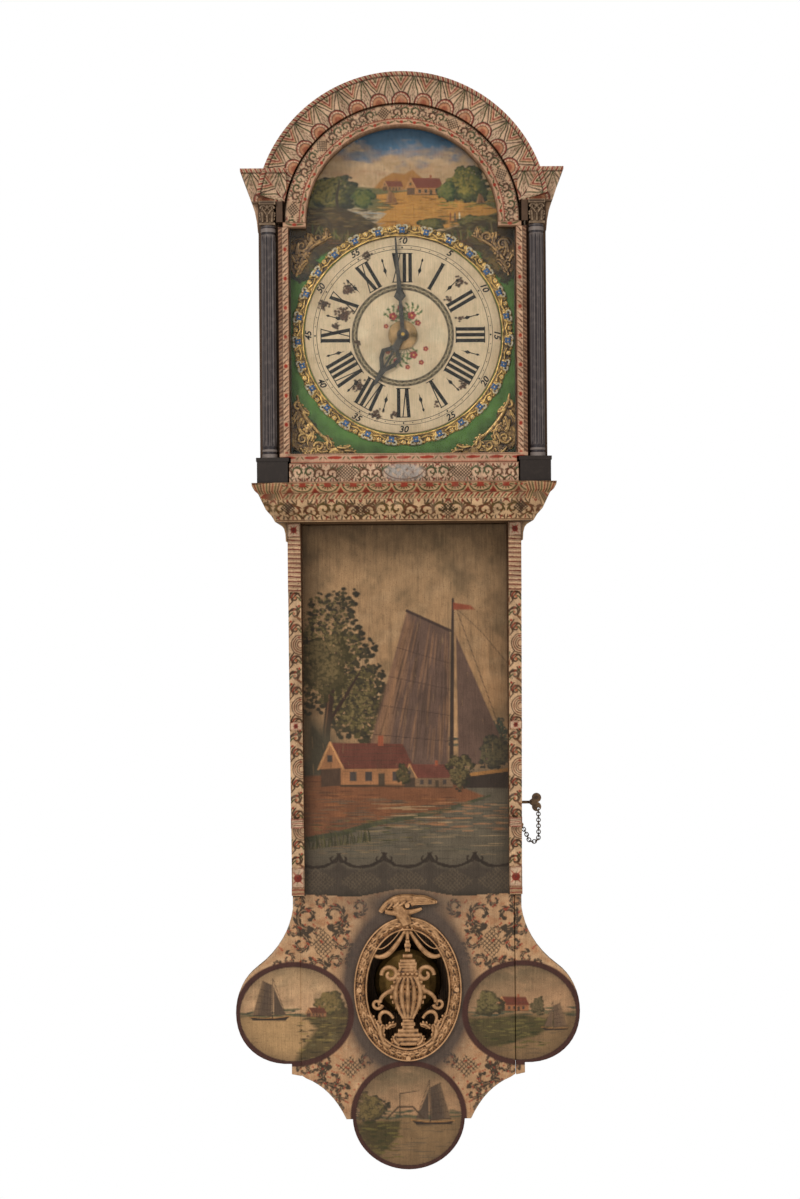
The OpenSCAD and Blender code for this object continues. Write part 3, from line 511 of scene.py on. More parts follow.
def spray(panel, x, z, size, turn, hand, ink):
    """A scroll with leaves along its back and red berries inside it."""
    main = curl(x, z, size, turn, hand * 400, 0.82, 26)
    panel.brush(main, 0.36 * size, ink, 0.95, 0.6, 0.5)
    panel.dab(*main[-1], 0.15 * size, 0.15 * size, ink)
    for k in range(6):
        at = main[3 * k + 1]
        way = heading(at, main[3 * k + 2])
        comma(panel, *at, 0.62 * size, way - hand * 38, hand * 0.45, 0.7 * 0.36 * size, ink, 0.95)
    for k in range(3):
        berry = off(x, z, 0.5 * size, turn + hand * (60 + 110 * k))
        panel.dab(*berry, 0.075 * size, 0.06 * size, RED, 0.85)


def acanthus(panel, x, z, size, turn, hand, ink):
    """A large leaf scroll: lobes of one thick comma each bend back from the stem, with berries inside."""
    stem = curl(x, z, size, turn, hand * 340, 0.72, 28)
    panel.brush(stem, 0.3 * size, ink, 1.0, 1, 0.6)
    for k in range(8):
        at = stem[3 * k]
        way = heading(at, stem[3 * k + 1])
        fade = 1 - 0.075 * k
        comma(panel, *at, 0.75 * size * fade, way - hand * 50, hand * 0.6, 0.36 * size * fade, ink)
        comma(panel, *at, 0.4 * size * fade, way + hand * 52, -hand * 0.4, 0.26 * size * fade, ink)
    panel.dab(*stem[-1], 0.18 * size, 0.18 * size, ink)
    panel.brush(stem[2:22], 0.07 * size, "#b98f68", 0.75, 1, 0.5)
    for k in range(4):
        berry = off(x, z, 0.62 * size, turn + hand * (40 + 90 * k))
        panel.dab(*berry, 0.06 * size + 0.3, 0.05 * size + 0.2, BERRY, 0.9)


def frieze(panel, middle, high, pitch, ink, second):
    """Leaf scrolls that run along a band, turning up and down in turn, with red berries between."""
    view = cells(hand_drawn(panel, 0.5, int(pitch) + 3), pitch)
    for s, ink_of, other in ((-1, ink, second), (1, second, ink)):
        spray(view, s * 0.25 * pitch, middle - 0.05 * s * high, 0.37 * high, 90 + s * 140, -s, ink_of)
        comma(view, s * 0.25 * pitch, middle + 0.3 * s * high, 0.3 * high, 200 - s * 30, s * 0.4,
              0.1 * high, other)
        comma(view, s * 0.5 * pitch, middle - 0.46 * s * high, 0.5 * high, 90 + s * 38, s * 0.4,
              0.11 * high, other)
        comma(view, 0, middle + 0.48 * s * high, 0.42 * high, -s * 60, s * 0.5, 0.1 * high, ink_of)
    for k in range(7):
        x = (k - 3) * pitch / 6.5
        for s in (-1, 1):
            comma(view, x, middle + 0.5 * s * high, 0.2 * high, -s * (70 + 40 * (k % 2)), 0.4, 0.075 * high,
                  (BROWN, BRICK, INK)[(k + (s > 0)) % 3], 0.9)


def fans(panel, high, pitch):
    """The cornice's row of shells at the foot, with lancet leaves and striped chevrons above them."""
    view = cells(hand_drawn(panel, 0.45, 7), pitch, False)
    half = pitch / 2
    for w, foot, colour in ((1.0, 0.3, INK), (0.86, 0.36, CREAM), (0.72, 0.44, GREEN), (0.6, 0.5, PINK),
                            (0.46, 0.58, BRICK), (0.33, 0.66, CREAM), (0.2, 0.72, GREEN)):
        view.brush([(-w * half, 0.92 * high), (0, foot * high), (w * half, 0.92 * high)], 1.7, colour, 0.95,
                   1, 1)
    for s in (-1, 1):
        leaf = [(s * half - 0.44 * half, 0), (s * half - 0.4 * half, 0.34 * high), (s * half, 0.86 * high),
                (s * half + 0.4 * half, 0.34 * high), (s * half + 0.44 * half, 0)]
        view.fill(leaf, "#c19e80")
        view.brush(leaf, 1.7, "#3a4222", 1.0, 1, 1)
        for k in range(4):
            view.brush([(s * half, (0.06 + 0.17 * k) * high), (s * half, (0.17 + 0.17 * k) * high)], 1.3,
                       GREEN, 0.95)
            for t in (-1, 1):
                apart = (0.24 - 0.055 * k) * half
                view.brush([(s * half + t * apart, (0.03 + 0.15 * k) * high),
                            (s * half + t * 0.8 * apart, (0.12 + 0.15 * k) * high)], 1.2, BROWN, 0.9)
    for radius, colour in ((0.88, INK), (0.81, BRICK), (0.72, CREAM), (0.6, BROWN), (0.53, "#ad7452"),
                           (0.3, "#96553a")):
        view.dab(0, 0, radius * half, radius * half, colour)
    for k in range(8):
        view.brush([off(0, 0, far * half, 12 + 22 * k) for far in (0.63, 0.72)], 1.3, BRICK, 0.9)
    view.brush(arc(0, 0, 0.4 * half, 20, 160, 10), 1.0, "#c08a62", 0.8)
    edge = panel.seen_as(panel.across, panel.up, panel.up > 0.86 * high)
    edge.lay("#c7a384")
    dash = cells(edge, 6.2, False)
    dash.brush([(-2.2, 0.87 * high), (0.8, high + 1)], 2.3, BRICK, 0.95, 1, 1)
    dash.brush([(0.9, 0.87 * high), (3.4, high)], 1.1, GREEN, 0.9, 1, 1)
    panel.level(-400, 400, 0.86 * high, 1.2, INK)


def rub(panel, seed, amount):
    """Wear: the paint thinned in patches, and browned by smoke in others."""
    panel.mottle("#dcc0a0", 0.4 * amount, 26, seed, 4, shift=-0.15)
    panel.mottle("#6b4a30", 0.8 * amount, 44.2, seed + 9, 4, shift=-0.1)


def trees(panel, x, z, wide, high, seed, shades=("#352e20", "#443b26", "#5c4f2e", "#7d6a41")):
    """A crown of leaves, dark at the back and lit on its left."""
    draw = np.random.default_rng(seed)
    for k, shade in enumerate(shades):
        for _ in range(int((70 + 7 * wide) * (1 - 0.15 * k))):
            a, far = draw.uniform(0, 2 * math.pi), math.sqrt(draw.uniform(0, 1)) * (1 - 0.1 * k)
            lump = 1 + 0.16 * math.sin(3 * a + seed) + 0.1 * math.sin(7 * a)
            px = x + wide * lump * far * math.cos(a) - 0.1 * k * wide
            pz = z + high * lump * far * math.sin(a) + 0.06 * k * high
            size = draw.uniform(0.5, 1.3) * min(1.1 + 0.07 * wide, 3.4) * (1 - 0.17 * k)
            panel.dab(px, pz, size, 0.75 * size, shade, 0.75, draw.uniform(-40, 40))


def strokes(panel, x0, x1, z0, z1, colours, count, seed, length, width, strength):
    """Level strokes, for water, grass banks and paths."""
    draw = np.random.default_rng(seed)
    for k in range(count):
        x, z = draw.uniform(x0, x1), draw.uniform(z0, z1)
        half = draw.uniform(0.3, 1) * length / 2
        panel.brush([(x - half, z), (x, z + draw.uniform(-0.6, 0.6)), (x + half, z)],
                    draw.uniform(0.5, 1) * width, colours[k % len(colours)], strength, 0.3, 0.3)


def farmhouse(panel, x, z, size, wall, roof, shade="#5b4030"):
    """A low farmhouse seen from its long side, with a steep roof and a chimney."""
    def at(points):
        return [(x + size * px, z + size * pz) for px, pz in points]
    panel.fill(at([(-1, 0), (-1, 0.42), (-0.55, 0.46), (-0.55, 0.02)]), shade)
    panel.fill(at([(-0.55, 0), (-0.55, 0.44), (1.05, 0.42), (1.05, 0.0)]), wall)
    panel.fill(at([(-1.06, 0.4), (-0.78, 0.98), (-0.5, 0.42)]), wall)
    panel.fill(at([(-0.52, 0.4), (-0.8, 1.0), (0.86, 0.96), (1.12, 0.4)]), roof)
    panel.fill(at([(0.3, 0.92), (0.3, 1.15), (0.42, 1.15), (0.42, 0.92)]), "#9a5236")
    for px in (-0.35, 0.0, 0.62):
        panel.fill(at([(px, 0.12), (px, 0.33), (px + 0.16, 0.33), (px + 0.16, 0.12)]), "#4b4038", 0.9)
    panel.fill(at([(0.3, 0), (0.3, 0.3), (0.45, 0.3), (0.45, 0)]), "#50402f", 0.9)
    for k in range(6):
        panel.brush(at([(-0.5, 0.06 + 0.07 * k), (1.0, 0.05 + 0.07 * k)]), 0.012 * size, shade, 0.4, 1, 1)
        panel.brush(at([(-0.6 + 0.02 * k, 0.52 + 0.08 * k), (1.04 - 0.03 * k, 0.5 + 0.08 * k)]),
                    0.016 * size, shade, 0.55, 1, 1)
    panel.brush(at([(-1.06, 0.4), (-0.79, 1.0), (-0.5, 0.41)]), 0.05 * size, "#c98f5c", 0.9, 1, 1)
    panel.fill(at([(-0.86, 0.56), (-0.86, 0.72), (-0.74, 0.72), (-0.74, 0.56)]), "#4b4038", 0.8)
    panel.brush(at([(-0.55, 0.02), (1.05, 0.0)]), 0.05 * size, "#4b3826", 0.8, 1, 1)


def barge(panel, x, z, size, sail, lit, hand=1):
    """A flat-bottomed sailing barge with a tanned sail."""
    def at(points):
        return [(x + hand * size * px, z + size * pz) for px, pz in points]
    panel.fill(at([(-0.62, 0.1), (-0.5, 0.0), (0.5, -0.02), (0.66, 0.13), (0.2, 0.07), (-0.3, 0.06)]),
               "#3b2f26")
    panel.brush(at([(-0.62, 0.1), (0.1, 0.06), (0.66, 0.13)]), 0.025 * size, "#a3713f", 0.9, 1, 1)
    panel.brush(at([(0.1, 0.06), (0.12, 1.3)]), 0.03 * size, "#3f3128", 0.95, 1, 0.5)
    edge = min(0.04 * size, 1.6)
    main = np.array([(0.08, 0.13), (0.1, 1.08), (-0.2, 1.22), (-0.5, 0.16)])
    panel.fill(at(main), sail, 0.95, edge)
    panel.fill(at([(-0.36, 0.17), (-0.16, 1.12), (-0.2, 1.22), (-0.5, 0.16)]), lit, 0.55, 5 * edge)
    panel.fill(at([(0.15, 0.14), (0.14, 1.05), (0.52, 0.16)]), sail, 0.9, edge)
    draw = np.random.default_rng(int(size))
    for k in range(int(size / 2)):
        u, v = draw.uniform(0, 1), draw.uniform(0, 0.75)
        low, top = main[0] + u * (main[3] - main[0]), main[1] + u * (main[2] - main[1])
        streak = [low + (top - low) * w for w in (v, v + 0.25)]
        panel.brush(at(streak), 0.018 * size, (lit, "#4b382b")[k % 2], 0.3, 0.3, 0.3)
    for k in range(5):
        a, b = main[3] + (main[2] - main[3]) * 0.19 * k, main[0] + (main[1] - main[0]) * 0.19 * k
        panel.brush(at([a, b]), min(0.02 * size, 1.1), "#46342a", 0.7, 1, 1)
    panel.brush(at([(-0.5, 0.16), (0.08, 0.13)]), 0.02 * size, "#43322a", 0.9, 1, 1)
    panel.brush(at([(-0.2, 1.22), (0.1, 1.08)]), 0.02 * size, "#43322a", 0.9, 1, 1)
    panel.brush(at([(0.12, 1.3), (0.53, 0.14)]), min(0.02 * size, 1.0), "#43322a", 0.8, 1, 1)


bob_z, board_front, board_back = -1082, -95, -83
foot_half = np.concatenate([bezier((159, -1198), (125, -1205), (102, -1224), (85, -1260), 11),
                            arc(0, -1257, 76.5, -2.4, -89, 16, 72)])
tail_half = np.concatenate([
    [[156, -955]], bezier((156, -972), (160, -1000), (175, -1030), (205, -1052), 9)[:-1],
    bezier((205, -1052), (224, -1066), (234.7, -1088), (234.7, -1114), 9)[:-1],
    bezier((234.7, -1114), (234.7, -1158), (202, -1186), (159, -1184), 13), foot_half])
centre_half = np.concatenate([[[146, -449], [146, -1199.5]], foot_half[foot_half[:, 0] < 146]])
centre_outline = np.concatenate([centre_half, (centre_half * [-1, 1])[::-1]])
board_paint = oil_paint("oil_paint_on_board", crackle=0.3, dirt=0.2, roughness=0.55, fleck=0.6)


def river_view(panel):
    """Trunk: a barge under a tanned sail, a farmhouse below elms, and a river with reeds."""
    x, z = panel.across, panel.up
    high = np.clip((z + 780) / 330, 0, 1)
    panel.lay("#b98d62")
    panel.lay("#967754", high ** 1.2)
    panel.mottle("#d8b98e", 0.35 * (1 - high), 30, 4, wide=0.4, shift=0.1)
    panel.lay("#bb8c5f", 0.75 * np.exp(-((x - 92) / 46) ** 2 - ((z + 700) / 74) ** 2))
    panel.lay("#b28a60", 0.5 * np.exp(-((x + 70) / 50) ** 2 - ((z + 520) / 40) ** 2))
    panel.mottle("#544731", 0.55, 70, 11, 4, tall=0.7, shift=-0.05)
    panel.mottle("#54432f", 0.4, 30, 12, 4, 3.0, 0.22)
    panel.mottle("#a5835c", 0.45, 24, 13, 4, 3.5, 0.3)
    strokes(panel, 20, 150, -752, -740, ("#4b4d3f", "#5a5947", "#3d4238"), 40, 21, 30, 4, 0.8)
    for k, px in enumerate((84, 95, 106, 118, 130)):
        trees(panel, px, -732 + 3 * (k % 2), 8, 13 + 4 * (k % 3), 30 + k, ("#3f443a", "#4f523f"))
    panel.fill([(-150, -770), (150, -758), (150, -955), (-150, -955)], "#665a48", 1.0, 8)
    panel.lay("#a27a52", 0.8 * np.exp(-((z + 772) / 13) ** 2) * (x > 20))
    trees(panel, -96, -636, 60, 92, 41)
    trees(panel, -58, -700, 42, 56, 42)
    panel.brush([(-112, -800), (-108, -730), (-100, -660), (-90, -610)], 11, "#3d2b20", 0.95, 1, 0.4)
    panel.brush([(-106, -720), (-80, -680), (-62, -650)], 5, "#3d2b20", 0.9, 1, 0.3)
    panel.brush([(-114, -790), (-110, -730), (-103, -670)], 2.5, "#7d5638", 0.6, 1, 0.4)
    trees(panel, -108, -640, 34, 42, 43, ("#42391f", "#54472a", "#6f5c3a"))
    panel.fill([(-150, -690), (-120, -700), (-60, -760), (-60, -800), (-150, -800)], "#4d4432", 0.6, 20)
    barge(panel, 42, -806, 196, "#664d3f", "#91694a")
    panel.brush([(66, -560), (104, -596), (140, -640)], 1.0, "#4b3a2e", 0.7, 1, 1)
    panel.fill([(66, -556), (66, -566), (96, -566), (90, -560)], "#8f4b33", 0.9, 1.5)
    trees(panel, 124, -762, 24, 22, 46, ("#38342a", "#474030", "#5e5239"))
    panel.fill([(-150, -792), (-60, -788), (10, -796), (72, -806), (110, -822), (40, -842), (-50, -858),
                (-90, -866), (-150, -878)], "#7c4e32", 1.0, 3)
    strokes(panel, -150, 60, -862, -797, ("#95603a", "#5f3c28", "#8a5634", "#6f4c33"), 130, 22, 34, 2.4, 0.7)
    farmhouse(panel, -56, -806, 60, "#a57048", "#6a3b2d", "#523c2c")
    farmhouse(panel, 30, -808, 32, "#7f6247", "#744032", "#4a3a2c")
    trees(panel, 74, -786, 17, 24, 44, ("#352f22", "#4a4029", "#6e5d3b"))
    trees(panel, -4, -790, 9, 14, 47, ("#35301f", "#54482c"))
    panel.brush([(-150, -880), (-90, -870), (-40, -856), (50, -840), (114, -820)], 8, "#4c4a33", 0.9, 0.8,
                0.4)
    strokes(panel, -150, 30, -884, -852, ("#5f5733", "#3d3c26", "#75633a"), 70, 23, 20, 2.2, 0.7)
    strokes(panel, -130, 150, -908, -822, ("#5d5443", "#453f33", "#6d5f48", "#4b4a3c"), 230, 24, 44, 2.0, 0.6)
    strokes(panel, 30, 140, -868, -828, ("#a06d48", "#b07a50"), 44, 25, 30, 2.4, 0.6)
    strokes(panel, -130, -40, -900, -878, ("#8a6a48", "#74603f"), 24, 29, 26, 2.0, 0.5)
    strokes(panel, -60, 145, -900, -830, ("#a98a63", "#b8966c"), 34, 26, 46, 1.6, 0.75)
    for k in range(40):
        px = -142 + 2.4 * k + 3 * math.sin(9 * k)
        comma(panel, px, -892 + 0.13 * (px + 140), 15 + 6 * math.sin(5 * k), 84 + 12 * math.sin(7 * k), 0.2,
              2.0, ("#38371f", "#5c5432", "#47412a")[k % 3], 0.85)
    panel.lay("#4c4034", 0.85 * np.exp(-((z + 940) / 30) ** 2))
    # Painted shade: the picture darkens within about 15 mm of the rails and of the console above, where shade
    # falls in the recess.
    edge = np.minimum(139 - np.abs(x), np.minimum(-449 - z, 200))
    panel.lay("#3a2e22", 0.55 * np.exp(-np.clip(edge, 0, 99) / 15))
    panel.mottle("#3a2e22", 0.22, 90, 31, 4)
    draw = np.random.default_rng(32)
    for k in range(260):
        px, pz = draw.uniform(-138, 138), draw.uniform(-800, -452)
        panel.brush([(px, pz), (px + draw.uniform(-1, 1), pz + draw.uniform(4, 16))], draw.uniform(0.8, 1.6),
                    ("#46392a", "#8d6f4c", "#5a4833", "#a37e56")[k % 4], 0.35, 0.4, 0.4)
    part = cells(hand_drawn(panel, 0.8, 27), 62)
    part.fill([(-34, -903), (-20, -917), (0, -921), (20, -917), (34, -903), (34, -960), (-34, -960)],
              "#4b3f33", 0.75, 3)
    part.brush(bezier((-31, -898), (-24, -922), (24, -922), (31, -898)), 4.4, "#352a20", 0.95, 0.8, 0.8)
    for s in (-1, 1):
        part.brush(curl(s * 24, -904, 8, 90 - s * 30, -s * 300, 0.7), 3.2, "#352a20", 0.95)
    lattice(part, 0, -936, 32, 19, 6, "#62523f", 1.2)
    panel.lay("#362e22", 0.8 * np.exp(-np.clip(z + 955, -1, 99) / 6) * (z > -956))


tail_scrolls = (
    (136, -984, 17, 250, 1), (101, -981, 17, 290, -1), (146, -1020, 13, 80, 1), (88, -1017, 13, 100, -1),
    (163, -1040, 8, 70, 1), (122, -1052, 10, 200, -1), (66, -970, 11, 300, -1), (98, -1046, 10, 330, 1),
    (76, -1044, 9, 120, -1), (178, -1050, 6, 150, -1), (104, -1203, 15, 80, -1), (130, -1190, 11, 200, -1),
    (88, -1226, 11, 130, -1), (96, -1246, 7, 60, 1), (112, -1181, 8, 320, 1), (55, -1180, 10, 300, 1),
    (118, -1215, 9, 10, 1), (119, -962, 10, 60, 1), (150, -962, 9, 90, 1), (154, -1000, 9, 20, -1),
    (120, -1003, 8, 200, 1), (140, -1046, 9, 130, 1), (84, -996, 9, 240, 1), (70, -1028, 8, 60, -1),
    (143, -1193, 8, 0, 1), (100, -1222, 8, 210, 1), (98, -1236, 7, 20, -1), (120, -1198, 7, 40, 1))


def tail_ground(panel):
    """Tail: cream between dark acanthus scrolls with lattice, and plain smoke-brown round the grille."""
    x, z = np.abs(panel.across), panel.up
    low = z < -950 - 9 * (x / 146) ** 2 + 4 * np.cos(x / 22)
    panel.mask = panel.mask * low
    half = panel.seen_as(x, z)
    half.lay("#bb9068")
    half.mottle("#cba37a", 0.7, 30, 61, 4)
    half.mottle("#a86c45", 0.6, 22, 62, 4)
    view = hand_drawn(half, 0.6, 63)
    dark = "#46382a"
    for cx, cz, size, turn, hand in tail_scrolls:
        acanthus(view, cx, cz, size, turn, hand, dark)
    for cx, cz, wide, high in ((115, -1021, 17, 23), (79, -1189, 19, 17)):
        view.fill([(cx - wide, cz), (cx, cz + high), (cx + wide, cz), (cx, cz - high)], "#be946b", 0.9)
        lattice(view, cx, cz, wide, high, 6.4, dark, 1.6)
    for k in range(60):
        view.dab(60 + (37 * k) % 120, -962 - (53 * k) % 92, 1.3, 1.1, BERRY, 0.9)
        view.dab(60 + (37 * k) % 80, -1176 - (29 * k) % 66, 1.3, 1.1, BERRY, 0.9)
    near_ring = np.exp(-(np.clip(np.hypot(x / 80, (z - bob_z) / 106) - 1, 0, 9) / 0.17) ** 2)
    panel.lay("#54453b", np.clip(1.1 * near_ring, 0, 0.97))
    panel.lay("#56483d", np.clip(1.2 * np.exp(-(x / 76) ** 2) * np.exp(-((z + 966) / 24) ** 2), 0, 0.96))
    panel.lay("#52443a", 0.9 * np.exp(-((x / 52) ** 2)) * (z < -1150) * (z > -1210))
    # Painted highlight: a pale line along the board's outer edge, where the edge catches the light.
    from_highlit_edge = np.minimum.reduce([np.hypot(x - a, z - b) for a, b in along(tail_half, 4)])
    half.mottle("#d9c2a6", 0.6 * np.exp(-from_highlit_edge / 1.5), 18, 64, shift=0.7)


def roundel(panel, cx, cz, wide, high, kind):
    """A framed river view in an oval."""
    far = np.hypot((panel.across - cx) / wide, (panel.up - cz) / high)
    inside = np.clip(0.5 + (1 - far) * high / 1.2, 0, 1)
    panel.lay("#4a2c24", np.clip(0.5 + (1 - far) * high / 1.4 + 5, 0, 1))
    view = panel.seen_as(panel.across - cx, panel.up - cz, inside)
    x, z = view.across, view.up
    ground, haze, cloud, water = (("#c89c73", "#a58660", "#d0a97d", "#b08a5e") if kind == 0 else
                                  ("#b58a64", "#67583f", "#bb9068", "#866847"))
    ripples = ("#b08a5e", "#96774f", "#a5845a") if kind == 0 else ("#8a6b48", "#6b5740", "#54493a")
    view.lay(ground)
    view.lay(haze, 0.85 * np.clip((z - 8) / 50 - (0.004 * x if kind else 0), 0, 1))
    view.mottle(cloud, 0.5, 26, 70 + kind, 4, wide=0.5)
    view.mottle("#6f6147", 0.4 * (z > 6), 20, 75 + kind, 4, wide=0.4)
    draw = 71 + 5 * kind
    view.fill([(-90, 0), (90, 2), (90, -90), (-90, -90)], water, 0.9, 5)
    strokes(view, -80, 80, -4, 7, ("#55543c", "#635c40", "#46493a"), 60, draw, 24, 3.6, 0.7)
    strokes(view, -80, 80, -62, -6, ripples, 120, draw + 1, 28, 2.0, 0.55)
    if kind == 0:
        barge(view, -34, -8, 44, "#5d4a3a", "#8d6d4c")
        view.fill([(14, -4), (30, -20), (10, -46), (0, -66), (84, -66), (84, 10), (44, 6)], "#5d4d30", 0.9, 6)
        trees(view, 50, 14, 20, 16, draw + 2, ("#453c27", "#5f5232", "#80693f"))
        farmhouse(view, 30, -4, 13, "#9c6a46", "#6b3f2e")
        strokes(view, 8, 80, -62, -4, ("#66583a", "#8a7442", "#393422", "#4a3c28"), 120, draw + 3, 14, 3.0,
                0.75)
    elif kind == 1:
        farmhouse(view, -12, 2, 20, "#a36a45", "#733c2c")
        trees(view, -44, 12, 18, 16, draw + 2, ("#433a27", "#5a4e31", "#76663f"))
        trees(view, 22, 8, 9, 12, draw + 4, ("#433a27", "#66563a"))
        view.fill([(-84, -8), (-40, -6), (0, -2), (52, -12), (24, -30), (-30, -46), (-84, -50)], "#54482c",
                  0.9, 4)
        strokes(view, -80, 34, -48, -6, ("#75663a", "#3e3c22", "#5f5430"), 100, draw + 3, 16, 3.0, 0.75)
        barge(view, 46, -24, 30, "#6d5541", "#957352", -1)
    else:
        barge(view, 34, -12, 46, "#574638", "#846648", -1)
        trees(view, -50, 10, 20, 20, draw + 2, ("#43392a", "#5c4d30", "#78633c"))
        view.brush([(-30, -4), (-14, 12), (6, 12), (20, -4)], 2.2, "#4c3b2c", 0.9, 1, 1)
        view.brush([(-12, -2), (-12, 30), (14, 34)], 1.6, "#4c3b2c", 0.9, 1, 0.6)
        view.fill([(-84, -12), (-50, -8), (-10, -6), (-16, -30), (-40, -56), (-84, -60)], "#4e4228", 0.9, 4)
        strokes(view, -80, -14, -58, -8, ("#6f6134", "#3d3a20", "#5b4c2a"), 90, draw + 3, 16, 3.0, 0.75)
    view.lay("#5a4632", 0.5 * np.clip((far - 0.72) / 0.28, 0, 1) ** 2)
    panel.brush(arc(cx, cz, wide + 2.2, 0, 360, 60, high + 2.2), 4.8, "#4a2c24", 0.98, 1, 1)
    panel.brush(arc(cx, cz, wide + 0.2, 0, 360, 60, high + 0.2), 0.8, "#2e1f1a", 0.8, 1, 1)


def tail_paint(panel):
    plain = panel.mask
    tail_ground(panel)
    panel.mask = plain
    for kind, (cx, cz, wide, high) in enumerate(((-155.5, -1116, 74, 64.5), (155.5, -1116, 74, 64.5),
                                                 (0, -1255.5, 72, 68))):
        roundel(panel, cx, cz, wide, high, kind)


def painted_board(name, loops, node, y_front, y_back, step, painter, finish, body="case", ground="#4a4035"):
    """A board with its painter's picture on the face and bare wood behind, in place of its node."""
    made, points = board(name, loops, y_front, y_back, step, body)
    panel = Panel(points[:, 0], points[:, 2], ground)
    painter(panel)
    panel.paint[points[:, 1] > y_back - 0.01] = rgb("#553f2c")
    lay_paint(made, panel.paint)
    made.data.materials.append(finish)
    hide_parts(node)


def centre_paint(panel):
    plain = panel.mask
    panel.mask = plain * (panel.up > -962)
    river_view(panel)
    panel.mask = plain
    tail_paint(panel)


grille_hole = arc(0, bob_z, 58, 0, 352.5, 47, 81)
painted_board("front_board_painted", [centre_outline, grille_hole], "front_board", board_front, board_back,
              1.55, centre_paint, board_paint)
ear = np.concatenate([[[146, -955]], tail_half[tail_half[:, 1] > -1196], [[159, -1198], [146, -1200.6]]])
ear_right = np.c_[np.maximum(ear[:, 0], 147), ear[:, 1]]
for name, outline in (("ear_left_painted", ear * [-1, 1]), ("ear_right_painted", ear_right)):
    painted_board(name, [outline], "ears", board_front, board_back, 1.45, tail_paint, board_paint)


# The carved rails at the trunk's sides: pine on which a notched, ridged and scrolled face is cut, in
# cream with red, green and brown lines. They are glued on the front board and thin towards the foot.
frieze_paint = oil_paint("limewashed_ornament", crackle=0.28, dirt=0.3, roughness=0.6, fleck=0.75)
rail_high = 55
rail_shape = [(-449, 1), (-467, 1), (-467, 0.94), (-541, 0.9), (-541, 0.84), (-620, 0.78), (-715, 0.66),
              (-715, 0.72), (-726, 0.72), (-726, 0.62), (-780, 0.52), (-846, 0.42), (-846, 0.52),
              (-859, 0.52), (-859, 0.38), (-914, 0.3), (-914, 0.36), (-941, 0.34), (-941, 0.4), (-951, 0.4)]
rail_steps = along([(z, rail_high * share) for z, share in rail_shape], 0.95)


def rail_paint(panel):
    face = panel.seen_as(panel.across, panel.up, np.abs(panel.across) < 8.6)
    panel.lay("#a57f5c")
    for s in (-1, 1):
        strip = panel.seen_as((panel.across - s * 12.5) * s, panel.up, panel.across * s > 8.6)
        strip.lay("#5b3c27")
        dot = strip.seen_as(strip.across, (strip.up % 7) - 3.5)
        dot.dab(0, 0, 1.3, 2.0, "#b8946c")
        dot.dab(9, 0, 1.5, 2.2, "#8e6a4c")
        strip.brush([(4.2, -449), (4.2, -951)], 1.3, "#c09870", 0.9, 1, 1)
    hand = hand_drawn(face, 0.4, 81)
    for low, high, rose in ((-467, -449, True), (-726, -715, True), (-941, -914, True), (-859, -846, False)):
        part = hand.seen_as(hand.across, hand.up - (low + high) / 2, (hand.up > low) & (hand.up < high))
        tall = (high - low) / 2
        part.lay("#d0ac8c")
        for s in (-1, 1):
            part.brush([(s * 7.8, -tall), (s * 7.8, tall)], 1.2, BROWN, 0.8, 1, 1)
            part.level(-8, 8, s * (tall - 0.6), 1.0, BRICK, 0.8)
        if rose:
            for k in range(4):
                a = math.radians(45 + 90 * k)
                part.brush([(0, 0), (0.95 * tall * math.cos(a) * 0.75, 0.9 * tall * math.sin(a))], 2.4,
                           "#a8553f", 0.8, 1, 0.3)
                comma(part, 0, 0, 0.8 * tall, 90 * k, 0.2, 1.6, GREEN, 0.6)
            part.dab(0, 0, 0.34 * tall + 1, 0.34 * tall + 1, BRICK)
            part.dab(0, 0, 1.2, 1.2, "#5b2a22")
        else:
            for k in range(5):
                part.brush([(-8, -tall + 1.5 + 2.6 * k), (8, -tall + 1.0 + 2.6 * k)], 1.3,
                           (BRICK, BROWN)[k % 2], 0.85, 1, 1)
    ridge = hand.seen_as(hand.across, (hand.up % 6.1) - 3, (hand.up > -541) & (hand.up < -467))
    ridge.lay("#cda680")
    ridge.brush([(-9, 1.2), (9, 1.8)], 2.1, "#6a2a1c", 0.95, 1, 1)
    ridge.brush([(-9, -0.8), (9, -0.4)], 1.0, BROWN, 0.7, 1, 1)
    runs = [(hand.up > low) & (hand.up < high) for low, high in ((-715, -541), (-846, -726), (-914, -859))]
    carve = hand.seen_as(hand.across, hand.up, np.any(runs, 0))
    carve.lay("#caa37c")
    for k, z in enumerate(range(-548, -912, -21)):
        s = 1 if k % 2 else -1
        if k % 4 == 3:
            for r in (12, 9.3, 6.6, 3.9):
                carve.brush(arc(s * -7, z, r, 0, 360, 26, 1.1 * r), 1.5, ("#4b2e1e", "#6c3724")[int(r) % 2],
                            0.95, 1, 1)
            continue
        carve.brush(curl(s * 0.8, z, 7.4, 90 - s * 90, s * 380, 0.8, 24), 2.7, "#4b331f", 1.0, 1, 0.6)
        carve.brush([(s * -8, z - 11), (s * -3, z - 5), (s * -6.5, z + 3), (s * -2, z + 10)], 2.4,
                    "#4b331f", 0.95, 0.5, 0.8)
        comma(carve, s * 8, z - 4, 9, 90 + s * 30, s * 0.4, 2.2, GREEN, 0.9)
        comma(carve, s * -8, z - 8, 9, 60 - s * 20, -s * 0.4, 2.0, "#7d4a2c", 0.9)
        for j in range(4):
            comma(carve, s * -7.5 + j * s * 3.4, z + 9 - 1.5 * j, 7.5, -60 + 10 * j, 0.4 * s, 2.0,
                  (GREEN, "#482f1e", "#8f3c28", "#482f1e")[j], 0.95)
        carve.dab(s * 1, z, 1.6, 1.6, "#b0633f")
        carve.dab(s * 5.5, z - 11, 1.7, 1.7, RED, 0.9)
    foot = hand.seen_as(hand.across, hand.up, hand.up < -941)
    foot.lay("#a57f5c")
    for z in (-943, -948.5):
        foot.level(-9, 9, z, 1.8, BRICK)
    rub(panel, 83, 0.45)


